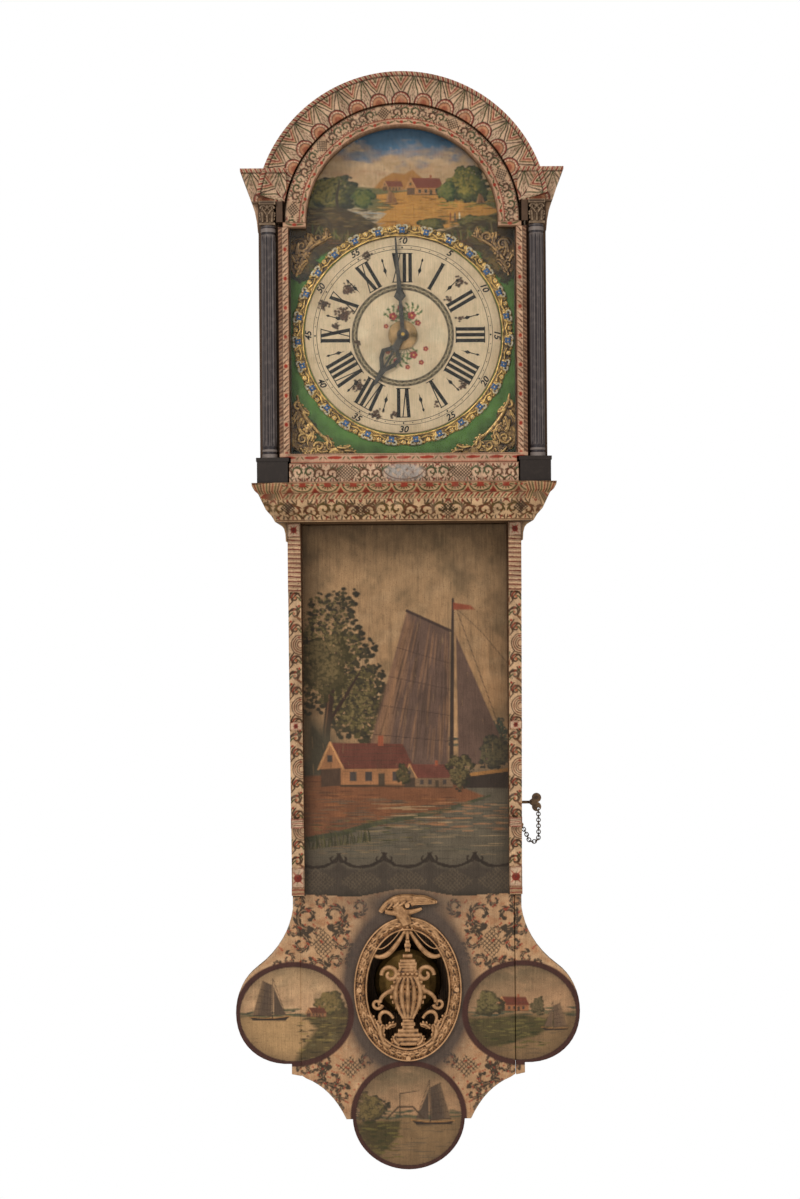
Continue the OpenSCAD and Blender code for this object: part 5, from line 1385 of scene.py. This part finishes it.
def disc_paint(panel):
    x, z = panel.across, panel.up - dial_z
    far, turn = np.hypot(x, z), np.arctan2(x, z)
    panel.lay("#e0bf9d")
    panel.lay("#c2a07d", 0.45 * np.clip(ripple(x, z, 70, 161), 0, 1) + 0.4 * np.clip((far - 118) / 12, 0, 1))
    view = panel.seen_as(x, z)
    view.mottle("#e6cbaa", 0.6 * (far < 60), 50, 162)
    band_r = 63.5
    band = panel.seen_as(turn * band_r, far - band_r, np.abs(far - band_r) < 5)
    band.lay("#6b5a46", np.clip(3.4 - np.abs(far - band_r), 0, 1))
    leaf = cells(band, 9.5)
    leaf.brush(bezier((-4.7, -1), (-1.6, 3.4), (1.6, -3.4), (4.7, 1)), 1.5, "#bfa482", 0.95, 0.5, 0.5)
    leaf.dab(0, 2.3, 1.7, 1.0, "#3f3428", 0.95)
    leaf.dab(0, -2.3, 1.7, 1.0, "#3f3428", 0.95)
    for r in (60.2, 66.9):
        panel.brush(arc(0, dial_z, r, 0, 360, 90), 1.2, INK, 0.95, 1, 1)
    for cx, cz, s, upward in ((2, 21, 1, 1), (2, -23, -1, -1), (-8, 30, -1, 1), (9, 33, 1, 1),
                              (-6, -32, 1, -1)):
        for k in range(7):
            a = 90 * upward + (k - 3) * 27
            twig = curl_leaf(cx, cz - 8 * upward, 20, a, 0.3 * s)
            view.brush(twig, 1.3, "#46502e", 0.9)
            view.dab(*twig[-3], 2.6, 1.5, "#55623a", 0.9, a + 40)
            view.dab(*twig[-5], 2.2, 1.3, "#6f7a4a", 0.9, a - 50)
    for px, pz, r in roses:
        for k in range(5):
            view.dab(*off(px, pz, 0.7 * r, 72 * k), 0.62 * r, 0.56 * r, ("#a5413d", "#8a2f35")[k % 2])
        view.dab(px, pz, 0.3 * r, 0.3 * r, "#d9a25c")
    view.lay("#5d4c38", 0.55 * np.exp(-((far - 8) / 14) ** 2) * (far < 60))
    draw = np.random.default_rng(163)
    for px, pz, spread, count in rust_patches:
        for _ in range(count):
            a = draw.uniform(0, 2 * math.pi)
            r = spread * math.sqrt(draw.uniform(0, 1)) * draw.uniform(0.4, 1.2)
            size = draw.uniform(0.8, 2.1)
            view.dab(px + r * math.cos(a), pz + 0.9 * r * math.sin(a), size, 0.8 * size,
                     ("#4a3227", "#5a3d2f", "#38271f")[int(3 * draw.uniform())], 0.95)
    panel.brush(arc(0, dial_z, 129.4, 0, 360, 120), 1.2, "#7a5f3f", 0.8, 1, 1)


enamel = oil_paint("cream_dial_paint", crackle=0.1, dirt=0.14, roughness=0.38, fleck=0.35)
rim = arc(0, dial_z, 130, 0, 357, 120)
bore = arc(0, dial_z, 6, 0, 345, 24)
disc_front = -173.5
painted_board("chapter_disc_painted", [rim, bore], "chapter_disc", disc_front, -172, 1.0, disc_paint,
              enamel, "case", "#e0bf9d")

lettering, tree, shader = material("black_lettering", 0.45, ior=1.5)
faded = ramp(tree, noise(tree, here(tree), 500.0, 4.0), (0.6, "#140d09"), (0.74, "#6a5643"))
tree.links.new(faded, shader.inputs["Base Color"])


class Sheet:
    """Flat shapes of one thickness, gathered into one mesh that lies on the disc."""

    def __init__(self, y, thick):
        self.y, self.thick, self.points, self.faces = y, thick, [], []

    def prism(self, outline):
        first, count = len(self.points), len(outline)
        for y in (self.y, self.y - self.thick):
            self.points += [(x, y, z) for x, z in outline]
        self.faces += [list(range(first, first + count)),
                       list(range(first + 2 * count - 1, first + count - 1, -1))]
        for i in range(count):
            after = (i + 1) % count
            self.faces.append((first + i, first + count + i, first + count + after, first + after))


def polar(turn, points):
    """Points given as (sideways, outwards) for the angle clockwise from twelve, on the dial."""
    c, s = math.cos(math.radians(turn)), math.sin(math.radians(turn))
    return np.array([(px * c + pz * s, dial_z - px * s + pz * c) for px, pz in points])


marks = Sheet(disc_front, 0.16)
thick_half, thin_half, low, high = 2.3, 0.7, 69.5, 108.5


def bar(turn, foot, head, half):
    """One bar of a figure."""
    marks.prism(polar(turn, [(foot - half, low + 1), (foot + half, low + 1), (head + half, high - 1),
                             (head - half, high - 1)]))


def serif(turn, left, right):
    for r in (low, high - 1.2):
        marks.prism(polar(turn, [(left, r), (right, r), (right, r + 1.2), (left, r + 1.2)]))


numerals = ["XII", "I", "II", "III", "IIII", "V", "VI", "VII", "VIII", "IX", "X", "XI"]
widths = {"I": 7.6, "V": 12.5, "X": 13.0}
half_hour = [(0, 79), (0.5, 84), (2.4, 88), (0.7, 92), (0.5, 99), (1.6, 102), (0, 105), (-1.6, 102),
             (-0.5, 99), (-0.7, 92), (-2.4, 88), (-0.5, 84)]
for hour, text in enumerate(numerals):
    full = sum(widths[c] for c in text) / 2
    left = -full
    for c in text:
        right = left + widths[c]
        mid = (left + right) / 2
        if c == "I":
            bar(30 * hour, mid, mid, thick_half)
        elif c == "V":
            bar(30 * hour, mid - 0.6, left + 2.8, thick_half)
            bar(30 * hour, mid + 0.6, right - 1.8, thin_half)
        else:
            bar(30 * hour, right - 2.8, left + 2.8, thick_half)
            bar(30 * hour, left + 1.8, right - 1.8, thin_half)
        left = right
    serif(30 * hour, 0.6 - full, full - 0.6)
    marks.prism(polar(30 * hour + 15, half_hour))
for minute in range(60):
    size = 1.3 if minute % 5 == 0 else 0.75
    dot = [(size * math.cos(a), 115.8 + size * math.sin(a)) for a in np.radians([0, 60, 120, 180, 240, 300])]
    marks.prism(polar(6 * minute, dot))
for r, w in ((113.2, 0.75), (118.0, 0.6)):
    inside, outside = r * math.tan(math.radians(1.5)), (r + w) * math.tan(math.radians(1.5))
    for k in range(120):
        marks.prism(polar(3 * k, [(-inside, r), (inside, r), (outside, r + w), (-outside, r + w)]))
for minute in range(5, 65, 5):
    text = bpy.data.curves.new("figure", "FONT")
    text.body, text.size, text.offset = str(minute), 13.5, 0.4
    text.align_x, text.align_y, text.shear = "CENTER", "CENTER", 0.22
    source = bpy.data.objects.new("figure", text)
    mesh = bpy.data.meshes.new_from_object(source)
    up = -1 if 100 < 6 * minute < 260 else 1
    for polygon in mesh.polygons:
        flat = [mesh.vertices[i].co for i in polygon.vertices]
        marks.prism(polar(6 * minute, [(up * p.x * 0.9, 124.3 + up * p.y * 0.85) for p in flat]))
    bpy.data.objects.remove(source)
numbers = mesh_object("dial_lettering", marks.points, marks.faces, "case", False)
numbers.data.materials.append(lettering)
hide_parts("chapter_disc")


# The ring round the dial and the corner pieces: brass cast in sand, chased, and gilded or painted.
# The gilding is worn to brown brass on the high points and keeps black dirt in the hollows.
def cast_metal(name, dark, light, roughness, dirt, scale=130.0):
    """Cast brass. Dirt fills the hollows, raised parts are rubbed bright, and the sand leaves a grain."""
    made, tree, shader = material(name, roughness, 0.5)
    place = here(tree)
    edge = remap(tree, add(tree, "NewGeometry").outputs["Pointiness"], 0.44, 0.56)
    wave = remap(tree, noise(tree, place, scale, 5.0, 0.6), 0.3, 0.7, -0.35, 0.35)
    tone = ramp(tree, join(tree, "ADD", edge, wave, True), (0.12, dirt), (0.45, dark), (0.9, light))
    surface(tree, shader, tone, noise(tree, place, 1300.0, 3.0), 0.35, 0.2)
    return made


gilt = cast_metal("worn_gilding", "#80602f", "#d2a45c", 0.42, "#2a1b10")
bronze_dark = cast_metal("smoked_bronze", "#5f432a", "#a67c48", 0.5, "#281a10")
bronze_gold = cast_metal("rubbed_bronze", "#74532e", "#c89c5c", 0.45, "#2a1b10")
grille_brass = cast_metal("old_cast_brass", "#9a7048", "#c4966a", 0.5, "#452e1d", 90.0)


def thick_paint(name, dark, light):
    """Oil colour laid thick on the casting, chipped at the edges and dulled by dirt."""
    made, tree, shader = material(name, 0.45, ior=1.48)
    patch = noise(tree, here(tree), 420.0, 5.0)
    surface(tree, shader, ramp(tree, patch, (0.36, dark), (0.62, light)), patch, 0.4, 0.3)
    return made


ring, flowers, scrolls = Casting(), Casting(), Casting()
ring.rod(arc(0, dial_z, 138.2, 0, 360, 181), [7.4, 7.4], -172.6, 0.12)
for k in range(27):
    a = 360 * k / 27
    ring.rod(polar(a, [(-17, 131.6), (-9, 131.9), (0, 132), (9, 131.9), (17, 131.6)]), [1.2], -173.2, 0.9)
    ring.rod(polar(a, [(-17, 134.6), (-8, 137.5), (2, 135.2), (9, 138.5), (17, 134.6)]), [1.4, 1.7, 1.4],
             -173.4, 1.1)
    for s, far, bend in ((-1, 137, 0.55), (1, 137, -0.55)):
        for j, (turn, length) in enumerate(((62, 11), (98, 10), (24, 10))):
            root = polar(a, [(s * 5.0, 135 + 0.4 * j)])[0]
            ring.leaf(root[0], root[1], length, 90 - a + s * (turn - 90) * -1, bend * (0.6 + 0.3 * j), 6.4,
                      -174.4, 2.0)
    centre = polar(a, [(0, 138.6)])[0]
    for j in range(4):
        px, pz = off(*centre, 2.3, 45 + 90 * j - a)
        flowers.blob((px, -175.4, pz), (3.2, 1.4, 2.5), 45 + 90 * j - a)
    ring.blob((centre[0], -176, centre[1]), (1.3, 0.9, 1.3))
    for s in (-1, 1):
        hook = polar(a, [(s * 4.4, 141.8)])[0]
        scrolls.rod(curl(hook[0], hook[1], 3.5, 90 - a + s * 60, -s * 300, 0.5, 14), [1.55, 1.2], -175.2, 1.0)
    middle = polar(a + 360 / 54, [(0, 141.5)])[0]
    for j in range(5):
        px, pz = off(*middle, 1.9, 72 * j - a)
        ring.blob((px, -175, pz), (1.6, 1.1, 1.6))
    scrolls.blob((middle[0], -175.8, middle[1]), (1.2, 0.9, 1.2))
blue = thick_paint("blue_flower_paint", "#253757", "#4b6c98")
white = thick_paint("white_scroll_paint", "#8b7861", "#dcc9ad")
for casting, name, finish, voxel in ((ring, "gilt", gilt, 0.62), (flowers, "flowers", blue, 0.6),
                                     (scrolls, "scrolls", white, 0.6)):
    casting.made("leaf_ring_" + name, "case", finish, voxel, "leaf_ring", -176.9, -172.1)


def corner_piece(side, upper, finish, name):
    """A cast spray of acanthus with a rosette and a trailing ribbon, bent round the ring."""
    c = Casting()

    def at(x, z):
        return side * x, dial_z + (z if upper else -z)

    flip = 1 if upper else -1
    stem = [at(*p) for p in bezier((140, 78), (136, 104), (122, 120), (92, 131 if upper else 146), 16)]
    c.rod(stem, [1.6, 3.0, 1.4], -173.6, 0.8)
    for x, z, wide, tall in ((139, 98, 11, 18), (133, 116, 16, 14), (116, 126, 17, 7)) if upper else (
            (141, 112, 11, 26), (134, 136, 18, 17), (112, 148, 24, 9), (88, 152, 14, 5)):
        px, pz = at(x, z)
        c.blob((px, -172.9, pz), (wide, 1.1, tall))
    for x, z, length, turn, bend, wide in ((138, 84, 20, 105, 0.5, 9), (141, 96, 18, 70, -0.4, 8),
                                           (134, 104, 20, 60, 0.5, 9), (126, 114, 20, 130, -0.5, 9),
                                           (118, 121, 20, 40, 0.5, 8), (106, 127, 18, 150, -0.4, 8),
                                           (98, 129, 16, 60, 0.5, 7), (140, 108, 17, 95, 0.4, 8)):
        if upper and (z + length > 134 or x + length > 160):
            length *= 0.75
        px, pz = at(x, z if upper else z * 1.04)
        way = turn if side > 0 else 180 - turn
        way = way if upper else -way
        c.leaf(px, pz, length, way, bend * side * flip, wide, -174.2, 2.2)
    far_z, near_z = (119, 129) if upper else (136, 146)
    for x, z, r, start, sweep in ((133, far_z, 8.5, 0, 420), (112, near_z, 6.5, 180, -420),
                                  (139, 92, 5.5, 90, 420)):
        px, pz = at(x, z)
        c.rod(curl(px, pz, r, start, sweep * side * flip, 0.8, 26), [2.1, 1.3], -174.2, 0.8)
    px, pz = at(127, 108 if upper else 122)
    for j in range(6):
        petal_x, petal_z = off(px, pz, 4.0, 60 * j + 15)
        c.blob((petal_x, -174.6, petal_z), (3.0, 1.3, 2.0), 60 * j + 15)
    c.blob((px, -175.2, pz), (2.2, 0.9, 2.2))
    if not upper:
        for x, z, length, turn, bend in ((88, 147, 18, 165, 0.4), (78, 152, 16, 185, -0.4),
                                         (136, 148, 14, 120, 0.4), (120, 150, 15, 60, 0.5),
                                         (100, 152, 14, 20, -0.5)):
            px, pz = at(x, z)
            way = turn if side > 0 else 180 - turn
            c.leaf(px, pz, length, -way, -bend * side, 7, -174.2, 2.2)
    c.made(name, "case", finish, 0.6, "spandrels", -175.9, -172.1)


for side, word in ((-1, "left"), (1, "right")):
    corner_piece(side, True, bronze_dark, "spandrel_upper_" + word)
    corner_piece(side, False, bronze_gold, "spandrel_lower_" + word)


# The hands: iron, filed from sheet and pierced, blackened with age. The hour hand ends in a pierced
# flower, and the minute hand is a long needle. Behind them the alarm disc is plain engraved brass.
def dark_iron(name, dark, light, roughness=0.5, metallic=0.8):
    """Hand-filed iron. Rust and oil leave it brown-black, with paler rubbed spots."""
    made, tree, shader = material(name, roughness, metallic)
    patch = noise(tree, here(tree), 160.0, 6.0, 0.65)
    surface(tree, shader, ramp(tree, patch, (0.36, dark), (0.7, light)), patch, 0.35, 0.3)
    return made


def train_brass(name, dark, light, roughness=0.32):
    """Worked brass, tarnished unevenly, with fine marks of the file."""
    made, tree, shader = material(name, roughness, 1.0)
    place = here(tree)
    tone = ramp(tree, noise(tree, place, 70.0, 5.0, 0.6), (0.32, dark), (0.68, light))
    surface(tree, shader, tone, noise(tree, stretched(tree, place, (200, 200, 2600)), 1.0, 2.0), 0.15, 0.1)
    return made


hand_iron = dark_iron("blackened_hand_iron", "#1c1612", "#453a2f", 0.6, 0.3)
forged_iron = dark_iron("forged_iron", "#2b2620", "#6a5c4c", 0.55)
brass = train_brass("tarnished_brass", "#7c5a2a", "#c39a52")
dress(hand_iron, "minute_hand", "hour_hand")
dress(train_brass("worn_alarm_brass", "#4c3b26", "#86694a", 0.5), "alarm_disc")
dress(forged_iron, "movement_plates", "wall_hanger", "hatch_hinge", "door_pins", "anchor", "hammer",
      "pendulum_rod", "strike_fly")
dress(dark_iron("screw_steel", "#34302c", "#8a8278", 0.4), "hanger_screws")
dress(brass, "great_wheel", "centre_wheel", "third_wheel", "escape_wheel", "minute_wheel",
      "strike_great_wheel", "strike_second_wheel", "strike_third_wheel", "movement_pillars",
      "movement_bars", "dial_supports", "hatch_lock")
dress(train_brass("bell_metal", "#7d6a44", "#c4b083", 0.28), "bell")
dress(train_brass("dull_bob_brass", "#4f3c20", "#86683a", 0.45), "pendulum_bob")
dress(dark_iron("rusted_key_iron", "#3f2d1e", "#7d5e3e", 0.5, 0.5), "side_key")


# The grille over the bob: a cast brass wreath with a draped swag, an urn, scrolls and leaves, held
# by round-headed nails. It has the colour of old unpolished brass, brown in the hollows.
grille = Casting()
mid_x, mid_z = 64.8, 89.5
for k in range(46):
    a = math.radians(90 + 360 * k / 46)
    x, z = mid_x * math.cos(a), bob_z + mid_z * math.sin(a)
    way = math.degrees(math.atan2(mid_z * math.cos(a), -mid_x * math.sin(a)))
    if z > -985:
        continue
    hand = 1 if x < 0 else -1
    for s in (-1, 1):
        grille.leaf(x, z, 9, way + (0 if hand > 0 else 180) + s * 30, -s * 0.4, 5.0, -99.9, 2.0)
for shift, r in ((-8.0, 1.5), (7.6, 1.3)):
    grille.rod(arc(0, bob_z, mid_x + shift, 0, 360, 90, mid_z + shift), [r, r], -99.4, 1.7)
grille.rod(arc(0, bob_z, mid_x, 0, 360, 90, mid_z), [6.6, 6.6], -97.4, 0.32)
for s in (-1, 1):
    grille.rod(bezier((s * 3, -986), (s * 26, -990), (s * 46, -1004), (s * 44, -1030), 16),
               [2.2, 4.0, 3.4, 1.8], -98.6, 0.8)
    grille.rod(bezier((s * 2, -1000), (s * 14, -1022), (s * 30, -1048), (s * 48, -1034), 18),
               [1.8, 3.6, 4.0, 2.2], -98.2, 0.8)
    grille.rod(bezier((s * 6, -998), (s * 20, -1016), (s * 34, -1034), (s * 46, -1024), 14),
               [0.8, 1.0, 0.8], -100.8, 1.0)
    grille.rod([(s * 45, -1026), (s * 51, -1040), (s * 53, -1052)], [3.4, 2.8, 1.4], -98.4, 0.8)
    grille.rod(curl(s * 24, -1062, 12, 90 - s * 95, s * 430, 0.78, 34), [3.0, 3.4, 2.2], -98.6, 0.85)
    grille.rod(bezier((s * 13, -1066), (s * 12, -1088), (s * 36, -1082), (s * 38, -1100), 18),
               [3.4, 3.2, 2.8], -98.4, 0.85)
    grille.rod(curl(s * 42, -1102, 7.5, 90 + s * 100, s * 400, 0.78, 26), [2.8, 1.8], -98.6, 0.85)
    grille.rod(bezier((s * 20, -1122), (s * 30, -1104), (s * 44, -1116), (s * 37, -1128), 14),
               [2.2, 3.0, 2.2], -98.4, 0.85)
    for x, z, length, turn, bend, wide in ((34, -1152, 22, 60, 0.5, 12), (40, -1143, 17, 100, -0.4, 9),
                                           (24, -1160, 18, 20, 0.5, 10), (30, -1136, 14, 130, 0.5, 8),
                                           (47, -1128, 13, 80, -0.5, 8)):
        grille.leaf(s * x, z, length, turn if s > 0 else 180 - turn, bend * s, wide, -99.8, 3.0)
    grille.leaf(s * 12, -1158, 14, 90 - s * 60, s * 0.5, 8, -99.6, 2.8)
    grille.rod([(s * 9, -1052), (s * 13, -1062)], [2.4, 2.0], -98.4, 0.8)
grille.rod(bezier((-37, -977), (-27, -961), (-9, -956), (12, -961), 14), [3.0, 6.4, 7.6], -100, 0.5)
grille.rod(bezier((4, -963), (18, -957), (30, -961), (41, -964), 12), [7.4, 6.0, 2.0], -100, 0.5)
grille.rod(bezier((-16, -966), (-10, -976), (-3, -984), (0, -994), 12), [7.0, 9.4, 8.4], -99.6, 0.5)
grille.rod(bezier((-30, -976), (-16, -980), (8, -978), (20, -972), 12), [3.0, 4.6, 2.2], -100.4, 0.7)
for k in range(5):
    grille.leaf(-27 + 8 * k, -972 + 2.2 * min(k, 3), 13, 38 - 8 * k, 0.35, 7, -101.7, 2.4)
for k in range(4):
    grille.rod([(8, -957.5 - 2.9 * k), (24, -957.6 - 2.7 * k), (38, -962.4 - 0.9 * k)], [1.3, 1.2, 0.8],
               -102.4, 1.0)
grille.rod([(0, -990), (0, -1014)], [2.2, 2.6], -98.4, 0.8)
for z, r in ((-1018, 3.0), (-1023, 4.2), (-1029, 3.4), (-1037, 6.6), (-1044, 10.4), (-1048, 12.6),
             (-1052, 12.0), (-1056, 7.6), (-1060, 9.2), (-1066, 15.0), (-1072, 20.0), (-1079, 23.4),
             (-1086, 24.8), (-1093, 24.4), (-1100, 21.6), (-1107, 17.6), (-1114, 13.2), (-1120, 9.2),
             (-1125, 7.4), (-1130, 9.6), (-1134, 7.8), (-1139, 14.0), (-1145, 19.0), (-1151, 22.6),
             (-1157, 24.6)):
    grille.rod([(-r, z), (r, z)], [2.9, 3.4, 3.6, 3.4, 2.9], -97.2, 0.9)
for k in range(-2, 3):
    grille.rod(bezier((4.4 * k, -1066), (10.4 * k, -1080), (9.8 * k, -1100), (3.0 * k, -1122), 12),
               [1.6, 3.7, 1.8], -99.9, 0.8)
for x0 in range(-2, 3):
    grille.blob((x0 * 6.0, -101, -1061), (2.4, 1.6, 2.2))
grille.made("tail_grille_cast", "case", grille_brass, 0.8, "tail_grille", -103.9, -95.1)
dress(grille_brass, "grille_nails")


# The key's chain: oval links of brown iron wire, each closed by hand, hanging in a slack loop from
# the key's bow to a staple on the hatch.
links, wire, loop_r = 19, 0.7, 7.6
bow, low_turn, staple = np.array([182.0, -844.4]), -879.0, np.array([159.6, -865.8])
rise_from = np.array([bow[0] - 2 * loop_r, low_turn])
drop, round_it = bow[1] - low_turn, math.pi * loop_r
rise = float(np.hypot(*(staple - rise_from)))
total = drop + round_it + rise


def chain_point(s):
    """The chain's course: down from the key's bow, round its lowest loop and up to the staple."""
    if s < drop:
        return bow - [0, s]
    if s < drop + round_it:
        a = -(s - drop) / loop_r
        return np.array([bow[0] - loop_r + loop_r * math.cos(a), low_turn + loop_r * math.sin(a)])
    return rise_from + (s - drop - round_it) / rise * (staple - rise_from)


points, faces = [], []
for i in range(links):
    s = i / (links - 1) * total
    way = chain_point(min(s + 2, total)) - chain_point(max(s - 2, 0))
    way /= np.hypot(*way)
    centre, across_it = chain_point(s), np.array([-way[1], way[0]])
    for j in range(24):
        a = 2 * math.pi * j / 24
        for k in range(8):
            b = 2 * math.pi * k / 8
            lengthwise = (3.05 + wire * math.cos(b)) * math.cos(a)
            sideways = (2.5 + wire * math.cos(b)) * math.sin(a)
            lift = wire * math.sin(b)
            flat, out = (sideways, lift) if i % 2 else (lift, sideways)
            px, pz = centre + way * lengthwise + across_it * flat
            points.append((px, -70 + out, pz))
    base = i * 192
    faces += [(base + 8 * j + k, base + 8 * ((j + 1) % 24) + k, base + 8 * ((j + 1) % 24) + (k + 1) % 8,
               base + 8 * j + (k + 1) % 8) for j in range(24) for k in range(8)]
chain = mesh_object("key_chain_links", points, faces, "hatch")
chain.data.materials.append(dark_iron("chain_iron", "#33281e", "#6b543d", 0.5, 0.6))
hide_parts("key_chain")


# Glass: old drawn panes, thin and faintly grey, in the door and in the hood's side windows.
glass, tree, shader = material("old_drawn_glass", 0.0, ior=1.25, specular=0.1)
shader.inputs["Transmission Weight"].default_value = 1.0
shader.inputs["Base Color"].default_value = colour_of("#f4f7f5")
clear = add(tree, "BsdfTransparent", inputs={"Color": colour_of("#f4f7f5")})
ray = add(tree, "LightPath")
either = join(tree, "MAXIMUM", ray.outputs["Is Shadow Ray"], ray.outputs["Is Diffuse Ray"])
pane = add(tree, "MixShader", inputs={0: either, 1: shader.outputs["BSDF"], 2: clear.outputs["BSDF"]})
tree.links.new(pane.outputs[0], tree.nodes["Material Output"].inputs["Surface"])
dress(glass, "door_glass", "hood_windows")


# The stage: a white surround as in the photograph, a pale floor well below the clock, a large soft
# lamp high on the left and two weaker ones. Together they light a facing surface to about its colour.
scene = bpy.context.scene
scene.view_settings.view_transform = "Standard"
world = bpy.data.worlds.new("white_surround")
scene.world = world
world.use_nodes = True
tree = world.node_tree
tree.nodes.clear()
ray = add(tree, "LightPath")
seen = join(tree, "MAXIMUM", ray.outputs["Is Camera Ray"], ray.outputs["Is Transmission Ray"])
power = remap(tree, seen, 0.0, 1.0, 0.35, 1.0)
tint = add(tree, "Background", inputs={"Color": (1, 1, 1, 1), "Strength": power})
tree.links.new(tint.outputs[0], add(tree, "OutputWorld").inputs["Surface"])

floor_mesh = bpy.data.meshes.new("floor")
floor_z = -1.75
corners = [(-2.5, -2.6, floor_z), (2.5, -2.6, floor_z), (2.5, 0.6, floor_z), (-2.5, 0.6, floor_z)]
floor_mesh.from_pydata(corners, [], [(0, 1, 2, 3)])
floor = bpy.data.objects.new("floor", floor_mesh)
scene.collection.objects.link(floor)
pale, tree, shader = material("pale_floor", 0.7)
shader.inputs["Base Color"].default_value = colour_of("#e6e4df")
floor_mesh.materials.append(pale)
floor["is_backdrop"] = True

for name, place, aim, size, watts in (("key_lamp", (-1.3, -2.6, 0.9), (0, -0.2, -0.5), 1.2, 43),
                                      ("fill_lamp", (1.9, -2.5, 0.1), (0, -0.2, -0.6), 1.4, 18),
                                      ("low_lamp", (-0.4, -2.8, -1.4), (0, -0.2, -0.9), 1.2, 13)):
    lamp = bpy.data.lights.new(name, "AREA")
    lamp.shape, lamp.size, lamp.energy = "DISK", size, watts
    thing = bpy.data.objects.new(name, lamp)
    thing.location = place
    thing.rotation_euler = (Vector(aim) - Vector(place)).to_track_quat("-Z", "Y").to_euler()
    scene.collection.objects.link(thing)
    thing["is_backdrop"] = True

camera = bpy.data.objects.new("camera", bpy.data.cameras.new("camera"))
camera.location = (-0.0065, -2.456, -0.5514)
camera.rotation_euler = (math.pi / 2, math.radians(0.45), 0)
camera.data.sensor_fit = "VERTICAL"
half_frame, focal_length = 779.35, 2250
camera.data.angle = 2 * math.atan(half_frame / focal_length)
scene.collection.objects.link(camera)
scene.camera = camera

low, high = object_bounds()
